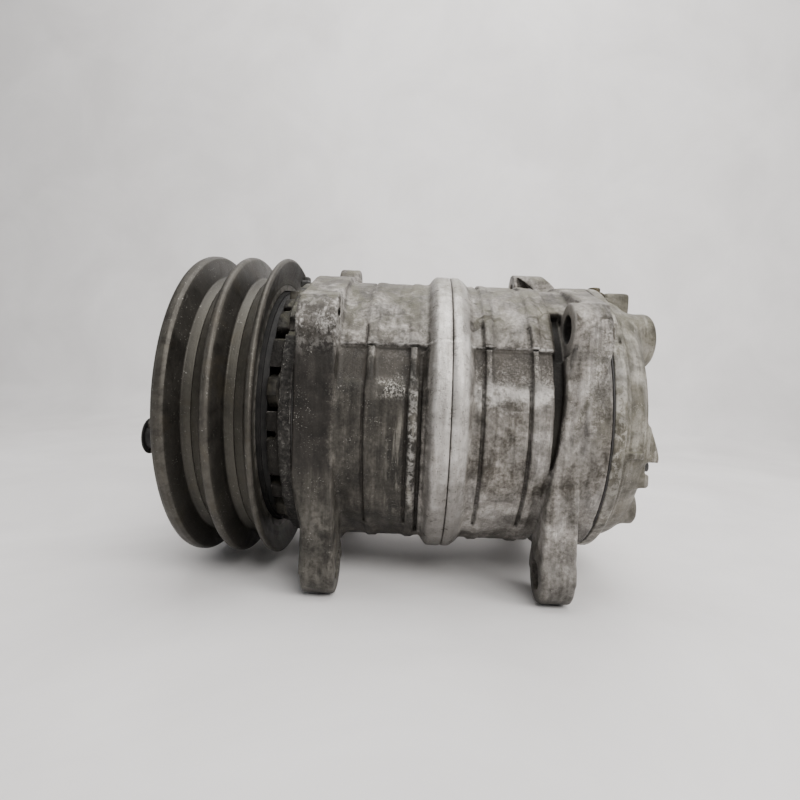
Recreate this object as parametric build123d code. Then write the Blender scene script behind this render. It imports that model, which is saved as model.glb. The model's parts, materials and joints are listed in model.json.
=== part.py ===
"""Belt-driven swash-plate air-conditioning compressor with an electromagnetic clutch.

Two cast cylinder halves with four mounting ears each, a front head with a nose, a rear head with
the two hose ports, six long through bolts, three double-headed pistons, an inclined swash plate on
the drive shaft, a rotor oil pump, and a two-groove pulley on its own bearing with a field coil and a
spring-mounted armature.

Frame: +X runs along the shaft from the clutch to the rear head, +Z is up and the origin is on the
shaft axis midway between the two belt grooves. While modelling, x = 0 is the joint between the two
cylinder halves; every solid is moved by BELT_TO_SPLIT when it is written.
Angles round the shaft are counted from -Y towards +Z.
"""
from build123d import *
import math
import os

os.makedirs("parts", exist_ok=True)
for _f in os.listdir("parts"):
    if _f.endswith(".step"):
        os.remove(os.path.join("parts", _f))

# ---------------------------------------------------------------- driving dimensions (mm)
BELT_TO_SPLIT = 88.0          # belt centre line to the joint between the cylinder halves
L_HALF = 58.5                 # length of one cylinder half
R_PANEL = 57.5                # raised cast panels
R_BASE = 55.2                 # recessed cast skin
R_BAND = 61.8                 # belt of metal round the joint
R_FRAME = 60.6                # ear frame rim
R_REAR_FLANGE = 58.8
BORE_R = 18.0                 # cylinder bore radius (36 mm bore)
BORE_PCR = 32.0               # bore pitch radius
BORE_ANG = (-19.0, 101.0, 221.0)
STROKE = 26.7
HALF_STROKE = STROKE / 2
CHAMBER_R, CHAMBER_H = 44.0, 21.5
BOLT_PCR = 48.5
BOLT_ANG = tuple(11.0 + 60 * k for k in range(6))
BOLT_R = 4.0
EAR_HOLE_R = 5.25
EAR_R = 11.0
EAR_A = (-47.0, 36.5)         # near upper ear
EAR_A_R = 10.2
EAR_B = (-46.0, -59.0)        # near lower ear
EAR_C = (46.0, 62.0)          # far upper ear
EAR_D = (46.0, -59.0)         # far lower ear
PARTING = 29.3                # casting parting line, degrees
RAISED = [(a + 120 * k, b + 120 * k) for k in range(3) for a, b in ((-33.0, 12.0), (PARTING, 57.0))]
SHAFT_R = 8.5
PULLEY_R = 67.5
BELT_PITCH = 16.15
TILT_TAN = HALF_STROKE / BORE_PCR
PLATE_R, PLATE_T = 37.5, 7.6
SWASH_ANG = 16.0
PIS_H, PIS_L = 33.6, 44.8     # piston: inner face and crown, from its middle
AIR_GAP = 0.6
GERO_E = 1.3                  # oil pump rotor offset
DIS_YZ, DIS_R, DIS_BORE = (-24.0, 34.4), 11.5, 8.6     # discharge port
SUC_YZ, SUC_BORE = (20.0, 41.0), 12.7                  # suction port


# ---------------------------------------------------------------- helpers
def rev(*pts):
    """Solid of revolution about X from (x, r) points."""
    return revolve(make_face(Polyline(*pts, close=True)), Axis.X, 360)


def ring(x0, x1, r0, r1):
    return rev((x0, r0), (x1, r0), (x1, r1), (x0, r1))


def disc(x0, x1, r):
    return rev((x0, 0), (x1, 0), (x1, r), (x0, r))


def at(r, deg):
    a = math.radians(deg)
    return (-r * math.cos(a), r * math.sin(a))


def cyl_x(r, x0, x1, yz=(0, 0)):
    return Location(((x0 + x1) / 2, yz[0], yz[1]), (0, 90, 0)) * Cylinder(r, x1 - x0)


def cyl_z(r, x, y, z0, z1):
    return Location((x, y, (z0 + z1) / 2)) * Cylinder(r, z1 - z0)


def box(x0, x1, y0, y1, z0, z1):
    return Location(((x0 + x1) / 2, (y0 + y1) / 2, (z0 + z1) / 2)) * Box(x1 - x0, y1 - y0, z1 - z0)


def poly_xz(pts, y0, y1):
    """Prism of an (x, z) outline between y0 and y1."""
    f = Plane(origin=(0, y1, 0), x_dir=(1, 0, 0), z_dir=(0, -1, 0)) * make_face(Polyline(*pts, close=True))
    return extrude(f, amount=y1 - y0, dir=(0, -1, 0))


def poly_yz(pts, x0, x1):
    """Prism of a (y, z) outline between x0 and x1."""
    f = Plane(origin=(x0, 0, 0), x_dir=(0, 1, 0), z_dir=(1, 0, 0)) * make_face(Polyline(*pts, close=True))
    return extrude(f, amount=x1 - x0, dir=(1, 0, 0))


def wedge(r, x0, x1, a0, a1):
    """Pie sector about the shaft axis."""
    n = max(2, int((a1 - a0) / 20) + 1)
    far = r * 1.6
    pts = [(0, 0)] + [at(far, a0 + (a1 - a0) * i / n) for i in range(n + 1)]
    return poly_yz(pts, x0, x1) & disc(x0, x1, r)


def hexagon(af, x0, x1, yz=(0, 0), turn=0):
    pts = [(yz[0] + af / math.sqrt(3) * math.cos(math.radians(60 * k + turn)),
            yz[1] + af / math.sqrt(3) * math.sin(math.radians(60 * k + turn))) for k in range(6)]
    return poly_yz(pts, x0, x1)


def hex_z(af, x, y, z0, z1, turn=0):
    f = Plane(origin=(x, y, z0)) * make_face(Polyline(*[
        (af / math.sqrt(3) * math.cos(math.radians(60 * k + turn)),
         af / math.sqrt(3) * math.sin(math.radians(60 * k + turn))) for k in range(6)], close=True))
    return extrude(f, amount=z1 - z0, dir=(0, 0, 1))


def soft(shape, edges, r):
    """Fillet that leaves the shape alone if the kernel can't make it."""
    for k in (1.0, 0.6, 0.35):
        try:
            out = fillet(edges, r * k)
            if out.is_valid and out.volume > 0:
                return out
        except Exception:
            pass
    return shape


ALL = {}


def keep(name, *shapes):
    solids = []
    for s in shapes:
        solids += list(s.solids())
    moved = [s.moved(Location((BELT_TO_SPLIT, 0, 0))) for s in solids]
    ALL[name] = moved
    out = moved[0] if len(moved) == 1 else Compound(children=moved)
    export_step(out, f"parts/{name}.step")


# ---------------------------------------------------------------- cylinder halves
def column(pts, ears, y0, y1):
    return poly_xz(pts, y0, y1)


def inner_cuts(s):
    """Everything machined out of a cylinder half; s = -1 front, +1 rear."""
    x = sorted((0.0, s * (L_HALF + 1)))
    cut = disc(*sorted((s * -0.1, s * CHAMBER_H)), CHAMBER_R)
    cut += disc(*sorted((s * (CHAMBER_H - 1), s * (L_HALF + 1))), 11.5)
    for a in BORE_ANG:
        cut += cyl_x(BORE_R + 0.03, x[0] - 0.1, x[1] + 0.1, at(BORE_PCR, a))
        cut += cyl_x(7.0, x[0] - 0.1, x[1] + 0.1, at(36.0, a + 60))
    for a in BOLT_ANG:
        cut += cyl_x(BOLT_R + 0.15, x[0] - 0.1, x[1] + 0.1, at(BOLT_PCR, a))
    cut += ring(*sorted((s * -0.1, s * 0.9)), 54.4, 56.2)          # half of the O-ring groove
    return cut


def front_cylinder():
    s = disc(-L_HALF, 0, R_BASE)
    for a0, a1 in RAISED:
        s += wedge(R_PANEL, -43.5, -9.0, a0, a1)
    s += ring(-32.1, -28.9, 40, R_PANEL + 0.5) + ring(-15.9, -13.3, 40, R_PANEL + 0.5)
    s += rev((-10.6, 40), (-10.6, 55), (-10.3, 57.4), (-9.5, 59.5), (-8.1, 61.0), (-6.2, R_BAND),
             (-0.7, R_BAND), (0, R_BAND - 0.8), (0, 40))
    s -= ring(-33.0, -32.1, R_PANEL - 1.3, 64) + ring(-16.8, -15.9, R_PANEL - 1.3, 64)
    # ear frame: rim, near column and leg, far leg, far upper ear
    rim = ring(-L_HALF, -43.5, 50, R_FRAME) & box(-70, 0, -57.2, 80, -57.2, 80)
    near = poly_xz([(-58.2, 36.5), (-43.2, 36.5), (-41.5, -59), (-54.8, -59)], -57.2, -35)
    far = poly_xz([(-57.5, 30), (-43.5, 30), (-41.5, -59), (-54.8, -59)], 35, 57.2)
    tall = poly_xz([(-57.6, 20), (-44.6, 20), (-46.0, 62), (-56.6, 62)], 35.5, 56.5)
    s += rim + near + far + tall
    s += cyl_x(EAR_A_R, -58.2, -43.2, EAR_A) + cyl_x(EAR_R, -54.8, -41.5, EAR_B)
    s += cyl_x(EAR_R, -54.8, -41.5, EAR_D) + cyl_x(EAR_R - 0.5, -56.8, -45.6, EAR_C)
    s += poly_yz([(-50.4, 46.1), (-30, 53.3), (0, R_FRAME), (0, 40), (-40, 30)], -58.2, -43.4)
    s += poly_yz([(0, R_FRAME), (20, 60), (38, 66), (38, 30), (0, 40)], -57.6, -44.4)
    for e in (EAR_A, EAR_B, EAR_C, EAR_D):
        s -= cyl_x(EAR_HOLE_R, -70, -38, e)
    s -= inner_cuts(-1)
    return s


def rear_cylinder():
    s = disc(0, L_HALF, R_BASE)
    for a0, a1 in RAISED:
        s += wedge(R_PANEL, 8.5, 35.6, a0, a1)
    s += ring(12.2, 14.9, 40, R_PANEL + 0.5) + ring(29.7, 32.4, 40, R_PANEL + 0.5)
    s += rev((0, 40), (0, R_BAND - 0.8), (0.7, R_BAND), (3.6, R_BAND - 0.3), (6.0, 60.2), (7.8, 58.2),
             (9.2, 55.0), (9.2, 40))
    s -= ring(11.3, 12.2, R_PANEL - 1.3, 64) + ring(28.8, 29.7, R_PANEL - 1.3, 64)
    s -= ring(35.6, 40.6, 53.2, 64)
    rim = ring(40.6, L_HALF, 50, R_REAR_FLANGE) & box(0, 70, -57.2, 80, -80, 80)
    rim += ring(50.5, L_HALF, 50, R_REAR_FLANGE)
    top = wedge(R_FRAME + 0.4, 47.5, L_HALF, 40, 135) - disc(40, 60, 50)
    near = poly_xz([(44.4, 36.5), (58.4, 36.5), (58.3, 30), (54.5, 16), (50.5, -4), (49.2, -30), (49.5, -59),
                    (36.3, -59), (36.6, -32), (38.1, -20), (39.8, -8), (41.6, 10), (42.6, 22), (44.4, 30)],
                   -57.4, -35)
    far = poly_xz([(40.5, 30), (55, 30), (50.5, -4), (49.2, -30), (49.5, -59), (36.3, -59), (36.6, -32),
                   (38.1, -20), (39.8, -8)], 35, 57.2)
    tall = poly_xz([(36.0, 20), (58.4, 20), (58.4, 65.2), (52.0, 72.5), (36.6, 72.5), (35.0, 62)], 35.5, 56.5)
    tall = tall & (cyl_x(EAR_R - 0.5, 30, 60, EAR_C) + box(30, 60, 35.5, 56.5, 0, 62.0))
    s += rim + top + near + far + tall
    s += cyl_x(EAR_A_R, 44.4, 58.4, EAR_A) + cyl_x(EAR_R, 36.3, 49.5, EAR_B)
    s += cyl_x(EAR_R, 36.3, 49.5, EAR_D) + cyl_x(EAR_R - 0.5, 36.0, 46.0, EAR_C)
    s += poly_yz([(-50.4, 46.1), (-30, 53.6), (0, R_FRAME + 0.3), (0, 40), (-40, 30)], 46.5, 58.4)
    s += poly_yz([(0, R_FRAME + 0.3), (20, 60), (37, 64), (37, 30), (0, 40)], 47.5, 58.4)
    for e in (EAR_A, EAR_B, EAR_C, EAR_D):
        s -= cyl_x(EAR_HOLE_R, 30, 70, e)
    s -= inner_cuts(1)
    # oil filler boss on the far side
    s += cyl_at_far((21.0, 161.0), 7.5, 50.5, 60.0) - cyl_at_far((21.0, 161.0), 4.05, 49, 62)
    s -= cyl_at_far((21.0, 161.0), 4.05, 45, 62)
    s -= cyl_x(BORE_R + 0.03, 0, 60, at(BORE_PCR, BORE_ANG[2]))
    return s


def cyl_at_far(pos, r, r0, r1):
    """Cylinder standing radially out of the drum at (x, angle)."""
    x, a = pos
    y, z = at(1.0, a)
    mid = (r0 + r1) / 2
    pl = Plane(origin=(x, y * mid, z * mid), x_dir=(1, 0, 0), z_dir=(0, y, z))
    return pl * Cylinder(r, r1 - r0)


fc = front_cylinder()
rc = rear_cylinder()
keep("front_cylinder", fc)
keep("rear_cylinder", rc)
keep("center_o_ring", ring(-0.85, 0.85, 54.5, 56.1))

# ---------------------------------------------------------------- front head
FH = rev((-59.0, 0), (-59.0, 56.8), (-59.4, 57.2), (-63.6, 57.2), (-64.2, 56.4), (-64.2, 54.0), (-69.4, 53.6),
         (-69.4, 24.1), (-76.0, 24.0), (-77.0, 23.4), (-77.0, 20.0), (-103.4, 20.0), (-104.0, 19.4), (-104.0, 0))
FH -= disc(-63.8, -58.9, 53.2)                        # seat of the valve plate
FH -= ring(-67.2, -63.7, 13.5, 25.0) + ring(-67.2, -63.7, 28.0, 41.5)
FH -= disc(-105, -63, 9.2) + disc(-98.0, -80.0, 13.0) + disc(-105, -97.9, 13.0)
for a in BOLT_ANG:
    FH -= cyl_x(8.8, -80, -64.2, at(BOLT_PCR + 0.8, a)) - disc(-80, -64, 40.2)
    FH -= cyl_x(BOLT_R + 0.15, -80, -58, at(BOLT_PCR, a))
FH -= poly_yz([at(46, -31), at(60, -31), at(60, -27.5), at(46, -27.5)], -70, -64.2)
FH -= poly_yz([at(46, 34.5), at(60, 34.5), at(60, 38), at(46, 38)], -70, -64.2)
FH -= ring(-102.6, -101.2, 19.0, 21)                  # snap-ring groove
for a in (41, 161, 281):
    FH -= cyl_x(1.6, -75, -66, at(33.0, a))
FH -= cyl_x(5.6, -65, -58, EAR_A)                     # clearance for the upper ear bolt
keep("front_head", FH)


def gasket(x0, x1, r1):
    return ring(x0, x1, 53.3, r1) - cyl_x(5.6, x0 - 1, x1 + 1, EAR_A)


keep("front_head_gasket", gasket(-59.0, -58.5, 56.9))
keep("rear_head_gasket", gasket(58.5, 59.0, 58.3))


def plate(x0, x1, r, holes_r):
    p = disc(x0, x1, r) - disc(x0 - 1, x1 + 1, 9.6)
    for a in BOLT_ANG:
        p -= cyl_x(BOLT_R + 0.15, x0 - 1, x1 + 1, at(BOLT_PCR, a))
    for a in BORE_ANG:
        p -= cyl_x(holes_r, x0 - 1, x1 + 1, at(BORE_PCR + 6.5, a - 7))
        p -= cyl_x(holes_r, x0 - 1, x1 + 1, at(BORE_PCR - 9.5, a + 7))
    return p


def reeds(x0, x1, r):
    """Star-shaped reed sheet: a hub ring with one tongue to each bore, and three locating arms."""
    p = ring(x0, x1, 10.0, 14.5)
    for a in BORE_ANG:
        d = at(1, a - 7)
        n = (-d[1], d[0])
        pts = [(d[0] * 12 + n[0] * 5, d[1] * 12 + n[1] * 5), (d[0] * 38 + n[0] * 4, d[1] * 38 + n[1] * 4),
               (d[0] * 38 - n[0] * 4, d[1] * 38 - n[1] * 4), (d[0] * 12 - n[0] * 5, d[1] * 12 - n[1] * 5)]
        p += poly_yz(pts, x0, x1) + cyl_x(5.2, x0, x1, at(38.5, a - 7))
        d = at(1, a + 60)
        n = (-d[1], d[0])
        p += poly_yz([(d[0] * 12 + n[0] * 4, d[1] * 12 + n[1] * 4), (d[0] * r + n[0] * 4, d[1] * r + n[1] * 4),
                      (d[0] * r - n[0] * 4, d[1] * r - n[1] * 4), (d[0] * 12 - n[0] * 4, d[1] * 12 - n[1] * 4)], x0, x1)
    return p


keep("front_valve_plate", plate(-63.2, -59.3, 53.1, 3.2))
keep("rear_valve_plate", plate(59.3, 63.2, 53.1, 3.2))
keep("suction_reeds", reeds(-59.25, -58.9, 44.0), reeds(58.9, 59.25, 44.0))
keep("discharge_reeds", reeds(-63.6, -63.25, 44.0), reeds(63.25, 63.6, 44.0))

# ---------------------------------------------------------------- rear head
RH = rev((59.0, 0), (59.0, 58.0), (59.4, R_REAR_FLANGE - 0.1), (63.2, R_REAR_FLANGE - 0.1), (63.9, 58.0), (64.4, 53.6),
         (70.2, 53.3), (72.6, 52.4), (74.6, 50.2), (75.9, 47.2), (76.5, 43.0), (76.5, 0))
RH += disc(76, 81.5, 23.5)
RH += fillet((cyl_x(DIS_R, 66, 83.0, DIS_YZ)).edges().sort_by(Axis.X)[-1], 2.5)       # discharge port boss
RH += box(64.3, 85.5, 3.0, 37.0, 25.0, 46.0) + box(73.4, 85.5, 3.0, 37.0, 40.0, 58.6)   # suction port block
RH += cyl_z(6.5, 68.4, 3.0, 50, 55.2)
lug = poly_xz([(64.3, 1.3), (76.0, 1.3), (79.0, -7.0), (79.8, -10.6), (79.5, -12.9), (64.3, -12.9)], -50.5, -33.0)
lug += box(64.3, 77.4, -48.5, -33.0, -23.0, -12.0)
RH += lug & disc(60, 90, 53.0)                                            # switch lugs
for a in (-52, -100, 165, 205, 235):                                      # stiffening ribs
    d = at(1, a)
    n = (-d[1], d[0])
    RH += poly_yz([(d[0] * 20 + n[0] * 2.2, d[1] * 20 + n[1] * 2.2), (d[0] * 47 + n[0] * 2.2, d[1] * 47 + n[1] * 2.2),
                   (d[0] * 47 - n[0] * 2.2, d[1] * 47 - n[1] * 2.2), (d[0] * 20 - n[0] * 2.2, d[1] * 20 - n[1] * 2.2)], 76, 79.5)
for a in BOLT_ANG:
    if a not in (11.0, 71.0):
        RH += cyl_x(7.5, 64.3, 78.5, at(BOLT_PCR - 3.0, a))
RH -= disc(58.9, 63.8, 53.2)
RH -= ring(63.7, 70.5, 27.0, 43.0) + ring(63.7, 70.5, 14.5, 24.0)
for a in BOLT_ANG:
    RH -= cyl_x(BOLT_R + 0.05, 58, 70.0, at(BOLT_PCR, a))
RH -= box(75.6, 90, -70, -20, -17.4, -12.9)                               # slot between the lugs
RH -= cyl_x(2.15, 72.5, 90, (-42.0, -15.15))
RH -= cyl_x(DIS_BORE, 70.0, 90, DIS_YZ)
RH -= cyl_x(SUC_BORE, 71.5, 90, SUC_YZ)
RH -= cyl_x(5.5, 63, 72, DIS_YZ) + cyl_x(7.0, 62, 72, SUC_YZ)
RH -= cyl_z(4.05, 68.4, 3.0, 44, 70)                                      # relief valve thread
RH -= cyl_x(14.05, 73.3, 82, (-GERO_E, 0)) + disc(58, 74, 5.6)
for a in (45, 135, 225, 315):
    RH -= cyl_x(1.75, 72, 82, at(19.6, a))
RH -= cyl_x(5.6, 58.0, 64.6, EAR_A)
keep("rear_head", RH)

cover = disc(81.5, 84.5, 23.3) - disc(84.0, 85, 12.0)
cover += disc(83.5, 85.6, 7.5)
for a in (45, 135, 225, 315):
    cover -= cyl_x(1.75, 80, 86, at(19.6, a))
keep("pump_cover", cover)
keep("pump_cover_screws", *[cyl_x(1.7, 74.5, 84.5, at(19.6, a)) + (cyl_x(3.0, 84.5, 87.0, at(19.6, a)) - hexagon(2.5, 85.3, 88, at(19.6, a)))
                            for a in (45, 135, 225, 315)])

# rotor oil pump: 4-lobe inner rotor on the shaft, 5-lobe outer rotor offset by GERO_E
NL, GR, GL = 5, 9.4, 2.9


def inner_rotor_pts(n=220, gap=0.06):
    pts = []
    for k in range(n):
        t = 2 * math.pi * k / n
        psi = math.atan2(math.sin((1 - NL) * t), GR / (GERO_E * NL) - math.cos((1 - NL) * t))
        rr = GL + gap
        x = GR * math.cos(t) - rr * math.cos(t + psi) - GERO_E * math.cos(NL * t)
        y = -GR * math.sin(t) + rr * math.sin(t + psi) + GERO_E * math.sin(NL * t)
        pts.append((x, y))
    return pts


rot = Plane(origin=(73.4, 0, 0), x_dir=(0, 1, 0), z_dir=(1, 0, 0)) * make_face(Spline(*inner_rotor_pts()[::2], periodic=True))
inner = extrude(rot, amount=7.6, dir=(1, 0, 0)) - disc(70, 85, 4.55)
keep("pump_inner_rotor", inner)
root_r = GR - GL + 2 * GERO_E + 0.15
outer = (cyl_x(14.0, 73.4, 81.0, (-GERO_E, 0)) - cyl_x(root_r, 70, 84, (-GERO_E, 0)))
for k in range(NL):
    a = math.radians(360.0 / NL * k)
    outer += cyl_x(GL, 73.4, 81.0, (-GERO_E + GR * math.cos(a), GR * math.sin(a))) & cyl_x(13.9, 73, 82, (-GERO_E, 0))
keep("pump_outer_rotor", outer)

# ---------------------------------------------------------------- fasteners and small fittings on the housing
bolts, washers = [], []
for a in BOLT_ANG:
    yz = at(BOLT_PCR, a)
    head = hexagon(12.0, -69.3, -65.1, yz, turn=a) & cyl_x(6.75, -69.3, -65.1, yz)
    b = cyl_x(BOLT_R, -66.0, 69.5, yz) + head
    bolts.append(b)
    washers.append(cyl_x(7.6, -65.1, -64.2, yz) - cyl_x(BOLT_R + 0.15, -67, -63, yz))
keep("through_bolts", *bolts)
keep("bolt_washers", *washers)

rv = cyl_z(4.0, 68.4, 3.0, 46, 55.2) + hex_z(8.4, 68.4, 3.0, 55.2, 57.9, turn=30) + cyl_z(2.8, 68.4, 3.0, 57.9, 60.3) - cyl_z(1.0, 68.4, 3.0, 57, 63)
keep("pressure_relief_valve", rv)
y_, z_ = at(1, 161.0)
pl = Plane(origin=(21.0, y_ * 60.0, z_ * 60.0), x_dir=(1, 0, 0), z_dir=(0, y_, z_))
plug = cyl_at_far((21.0, 161.0), 4.0, 51.5, 60.0) + cyl_at_far((21.0, 161.0), 7.2, 60.0, 61.2)
hexf = pl.offset(1.2) * make_face(Polyline(*[(6.93 * math.cos(math.radians(60 * k)), 6.93 * math.sin(math.radians(60 * k))) for k in range(6)], close=True))
plug += extrude(hexf, amount=4.0, dir=(0, y_, z_))
keep("oil_filler_plug", plug)
sw = cyl_x(2.1, 72.5, 78.4, (-42.0, -15.15))
keep("thermal_switch", sw)

# ---------------------------------------------------------------- bearings, seal
pins, races = [], []
for nm, s in (("front", -1), ("rear", 1)):
    x0, x1 = sorted((s * 25.0, s * 47.0))
    keep(f"{nm}_needle_bearing", ring(x0, x1, 10.3, 11.48))
    pins += [cyl_x(0.85, x0 + 1.5, x1 - 1.5, at(9.42, 20 * k)) for k in range(18)]
    races.append(ring(*sorted((s * 20.2, s * 21.4)), 9.2, 13.6))
keep("bearing_needles", *pins)
keep("thrust_races", *races)
keep("shaft_seal", rev((-97.0, 12.95), (-88.0, 12.95), (-88.0, 11.2), (-95.2, 11.2), (-95.2, 10.4), (-90.0, 8.75), (-89.4, 8.56),
                       (-91.5, 8.56), (-97.0, 10.2)))
keep("seal_retaining_ring", ring(-99.0, -97.6, 10.4, 12.98))

# ---------------------------------------------------------------- field coil
coil = rev((-71.7, 24.3), (-69.5, 24.3), (-69.5, 51.6), (-71.7, 52.0), (-71.7, 52.8), (-98.0, 52.8), (-98.0, 49.6), (-75.0, 49.6),
           (-75.0, 39.2), (-98.0, 39.2), (-98.0, 36.2), (-71.7, 36.2))
for a in (41, 161, 281):
    coil -= cyl_x(1.75, -75, -69, at(33.0, a))
keep("field_coil_shell", coil)
keep("coil_winding", ring(-97.2, -75.1, 39.3, 49.5))
keep("coil_screws", *[cyl_x(1.55, -71.7, -67.5, at(33.0, a)) + (cyl_x(2.9, -74.2, -71.7, at(33.0, a)) - box(-75, -73.4, at(33, a)[0] - 3.2, at(33, a)[0] + 3.2, at(33, a)[1] - 0.4, at(33, a)[1] + 0.4))
                      for a in (41, 161, 281)])
lead = box(-68.6, -64.3, -3.5, 5.5, 54.3, 58.4) + box(-67.8, -65.0, -1.5, 3.5, 58.4, 60.6)
keep("coil_lead_terminal", lead)

# ---------------------------------------------------------------- pulley body
keep("sheave_front", rev((-107.4, 56.1), (-107.4, 66.2), (-106.8, 67.0), (-105.8, PULLEY_R - 0.1), (-104.6, PULLEY_R), (-103.4, PULLEY_R - 0.15),
                         (-102.4, 66.7), (-99.7, 58.3), (-96.2, 57.9), (-96.2, 56.1)))
keep("sheave_middle", rev((-96.1, 56.1), (-96.1, 57.9), (-92.5, 58.3), (-89.8, 66.7), (-89.2, 67.3), (-88.1, PULLEY_R), (-87.0, 67.3), (-86.4, 66.7),
                          (-83.7, 58.3), (-80.1, 57.9), (-80.1, 56.1)))
keep("sheave_rear", rev((-80.0, 56.1), (-80.0, 57.9), (-76.2, 58.3), (-73.5, 66.7), (-73.0, 67.3), (-72.2, PULLEY_R), (-71.2, 67.2), (-70.8, 66.4),
                        (-72.6, 60.5), (-73.2, 56.1)))
rotor = rev((-107.4, 29.0), (-107.4, 55.9), (-106.9, 56.0), (-73.4, 56.0), (-73.4, 53.5), (-100.6, 53.5), (-102.2, 52.0), (-102.2, 37.0), (-100.6, 35.5),
            (-78.0, 35.5), (-78.0, 31.0), (-104.2, 31.0), (-104.2, 29.0))
for k in range(3):                                                        # flux slots in the friction face
    for r0, r1, off in ((41.0, 43.2, 0), (48.6, 50.8, 60)):
        sl = wedge(r1, -108, -101, 120 * k + off + 8, 120 * k + off + 112) - disc(-109, -100, r0)
        rotor -= sl
keep("clutch_rotor", rotor)
BX0, BX1, BM = -102.0 + 0.9, -78.6, 25.75
grooves = None
for xb in (-95.0, -84.6):
    t = revolve(make_face(Location((xb, BM, 0)) * Circle(3.05).edges()[0]) if False else (Location((xb, BM)) * Circle(3.05)), Axis.X, 360)
    grooves = t if grooves is None else grooves + t
keep("bearing_inner_race", ring(BX0, BX1, 20.0, 24.0) - grooves)
keep("bearing_outer_race", ring(BX0, BX1, 27.5, 31.0) - grooves)
balls = []
for xb in (-95.0, -84.6):
    for k in range(16):
        yz = at(BM, 22.5 * k)
        balls.append(Location((xb, yz[0], yz[1])) * Sphere(3.0))
keep("bearing_balls", *balls)
keep("bearing_seals", ring(BX0 + 0.4, BX0 + 1.3, 24.3, 27.5), ring(BX1 - 1.3, BX1 - 0.4, 24.3, 27.5))
snap = ring(-102.5, -101.3, 19.05, 22.6) - poly_yz([(0, 0), (-3.2, -30), (3.2, -30)], -103, -101)
keep("bearing_snap_ring", snap)

# ---------------------------------------------------------------- shaft body
shaft = rev((-119.0, 0), (-119.0, 3.6), (-118.6, 4.0), (-111.0, 4.0), (-111.0, 6.3), (-103.0, 7.0), (-101.5, 7.6), (-100.6, SHAFT_R - 0.02),
            (58.0, SHAFT_R - 0.02), (58.0, 5.5), (72.6, 5.5), (72.6, 4.5), (81.2, 4.5), (81.2, 0))
key = box(-110.0, -104.4, -1.5, 1.5, 5.0, 8.6)
shaft -= box(-110.2, -104.2, -1.55, 1.55, 5.0, 9.5)
keep("drive_shaft", shaft)
keep("hub_key", key)
slab = Location((0, 0, 0)) * Box(PLATE_T, 200, 200)
tilt = math.degrees(math.atan(TILT_TAN))
ang = math.radians(SWASH_ANG)
# tilt axis is perpendicular to the direction of largest forward lean
ax = Vector(0, math.sin(ang), math.cos(ang))
slab = slab.rotate(Axis((0, 0, 0), (0, ax.Y, ax.Z)), tilt)
lean = at(1, SWASH_ANG)
probe_up = slab.bounding_box()
sw_plate = slab & disc(-30, 30, PLATE_R)
sw_plate += disc(-17.1, 17.1, 13.4)
sw_plate -= disc(-30, 30, SHAFT_R)
keep("swash_plate", sw_plate)
keep("thrust_needles", *[ring(*sorted((s * 18.5, s * 20.1)), 9.4, 13.4) for s in (-1, 1)])
keep("thrust_washers", *[ring(*sorted((s * 17.2, s * 18.4)), 8.6, 13.5) for s in (-1, 1)])

PLATE_X0, PLATE_X1 = -115.0, -112.7       # triangular hub plate
ARM_X0, ARM_X1 = -111.45, -107.4 - AIR_GAP
STOP_ANG = (-11.5, 108.5, 228.5)
STOP_R = 50.4
hub = rev((PLATE_X1, 4.1), (PLATE_X1 + 0.8, 6.4), (-103.2, 7.2), (-103.2, 12.5), (-111.4, 12.5), (PLATE_X1, 14.0), (PLATE_X1, 17.5), (PLATE_X0, 17.5),
          (PLATE_X0, 10.5), (-113.2, 8.8), (-113.2, 4.1))
hub_pts = []
for a in STOP_ANG:
    d, n = at(1, a), at(1, a + 90)
    for u, v in ((24.0, -21.5), (40.0, -13.5), (STOP_R - 4, -10.2), (STOP_R + 2.6, -6.4), (STOP_R + 4.6, 0.0), (STOP_R + 2.6, 6.4), (STOP_R - 4, 10.2), (40.0, 13.5), (24.0, 21.5)):
        hub_pts.append((d[0] * u + n[0] * v, d[1] * u + n[1] * v))
hub += poly_yz(hub_pts, PLATE_X0, PLATE_X1) - disc(-120, -105, 17.4)
for a in STOP_ANG:
    hub -= cyl_x(5.05, -118, -110, at(STOP_R, a))
    hub -= cyl_x(2.05, -118, -110, at(30.5, a + 24))
    hub -= wedge(34.0, -118, -110, a - 15, a + 9) - disc(-119, -109, 24.0)      # lightening window
hub -= box(-110.2, -103.0, -1.55, 1.55, 5.0, 8.65)
keep("clutch_hub", hub)
keep("hub_nut", ((hexagon(14.0, -118.6, -113.2, turn=12) & rev((-118.6, 0), (-118.6, 7.2), (-117.6, 8.2), (-113.2, 8.2), (-113.2, 0))) - disc(-120, -110, 4.05)))
keep("gap_shims", ring(-103.1, -102.7, 7.8, 11.5), ring(-102.6, -102.2, 7.8, 11.5))
domes, springs, rivets_hub, rivets_arm = [], [], [], []
arm = ring(ARM_X0, ARM_X1, 33.5, 56.0)
for k in range(3):
    arm -= wedge(47.0, -113, -106, 120 * k + 18, 120 * k + 102) - disc(-114, -105, 44.6)
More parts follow.
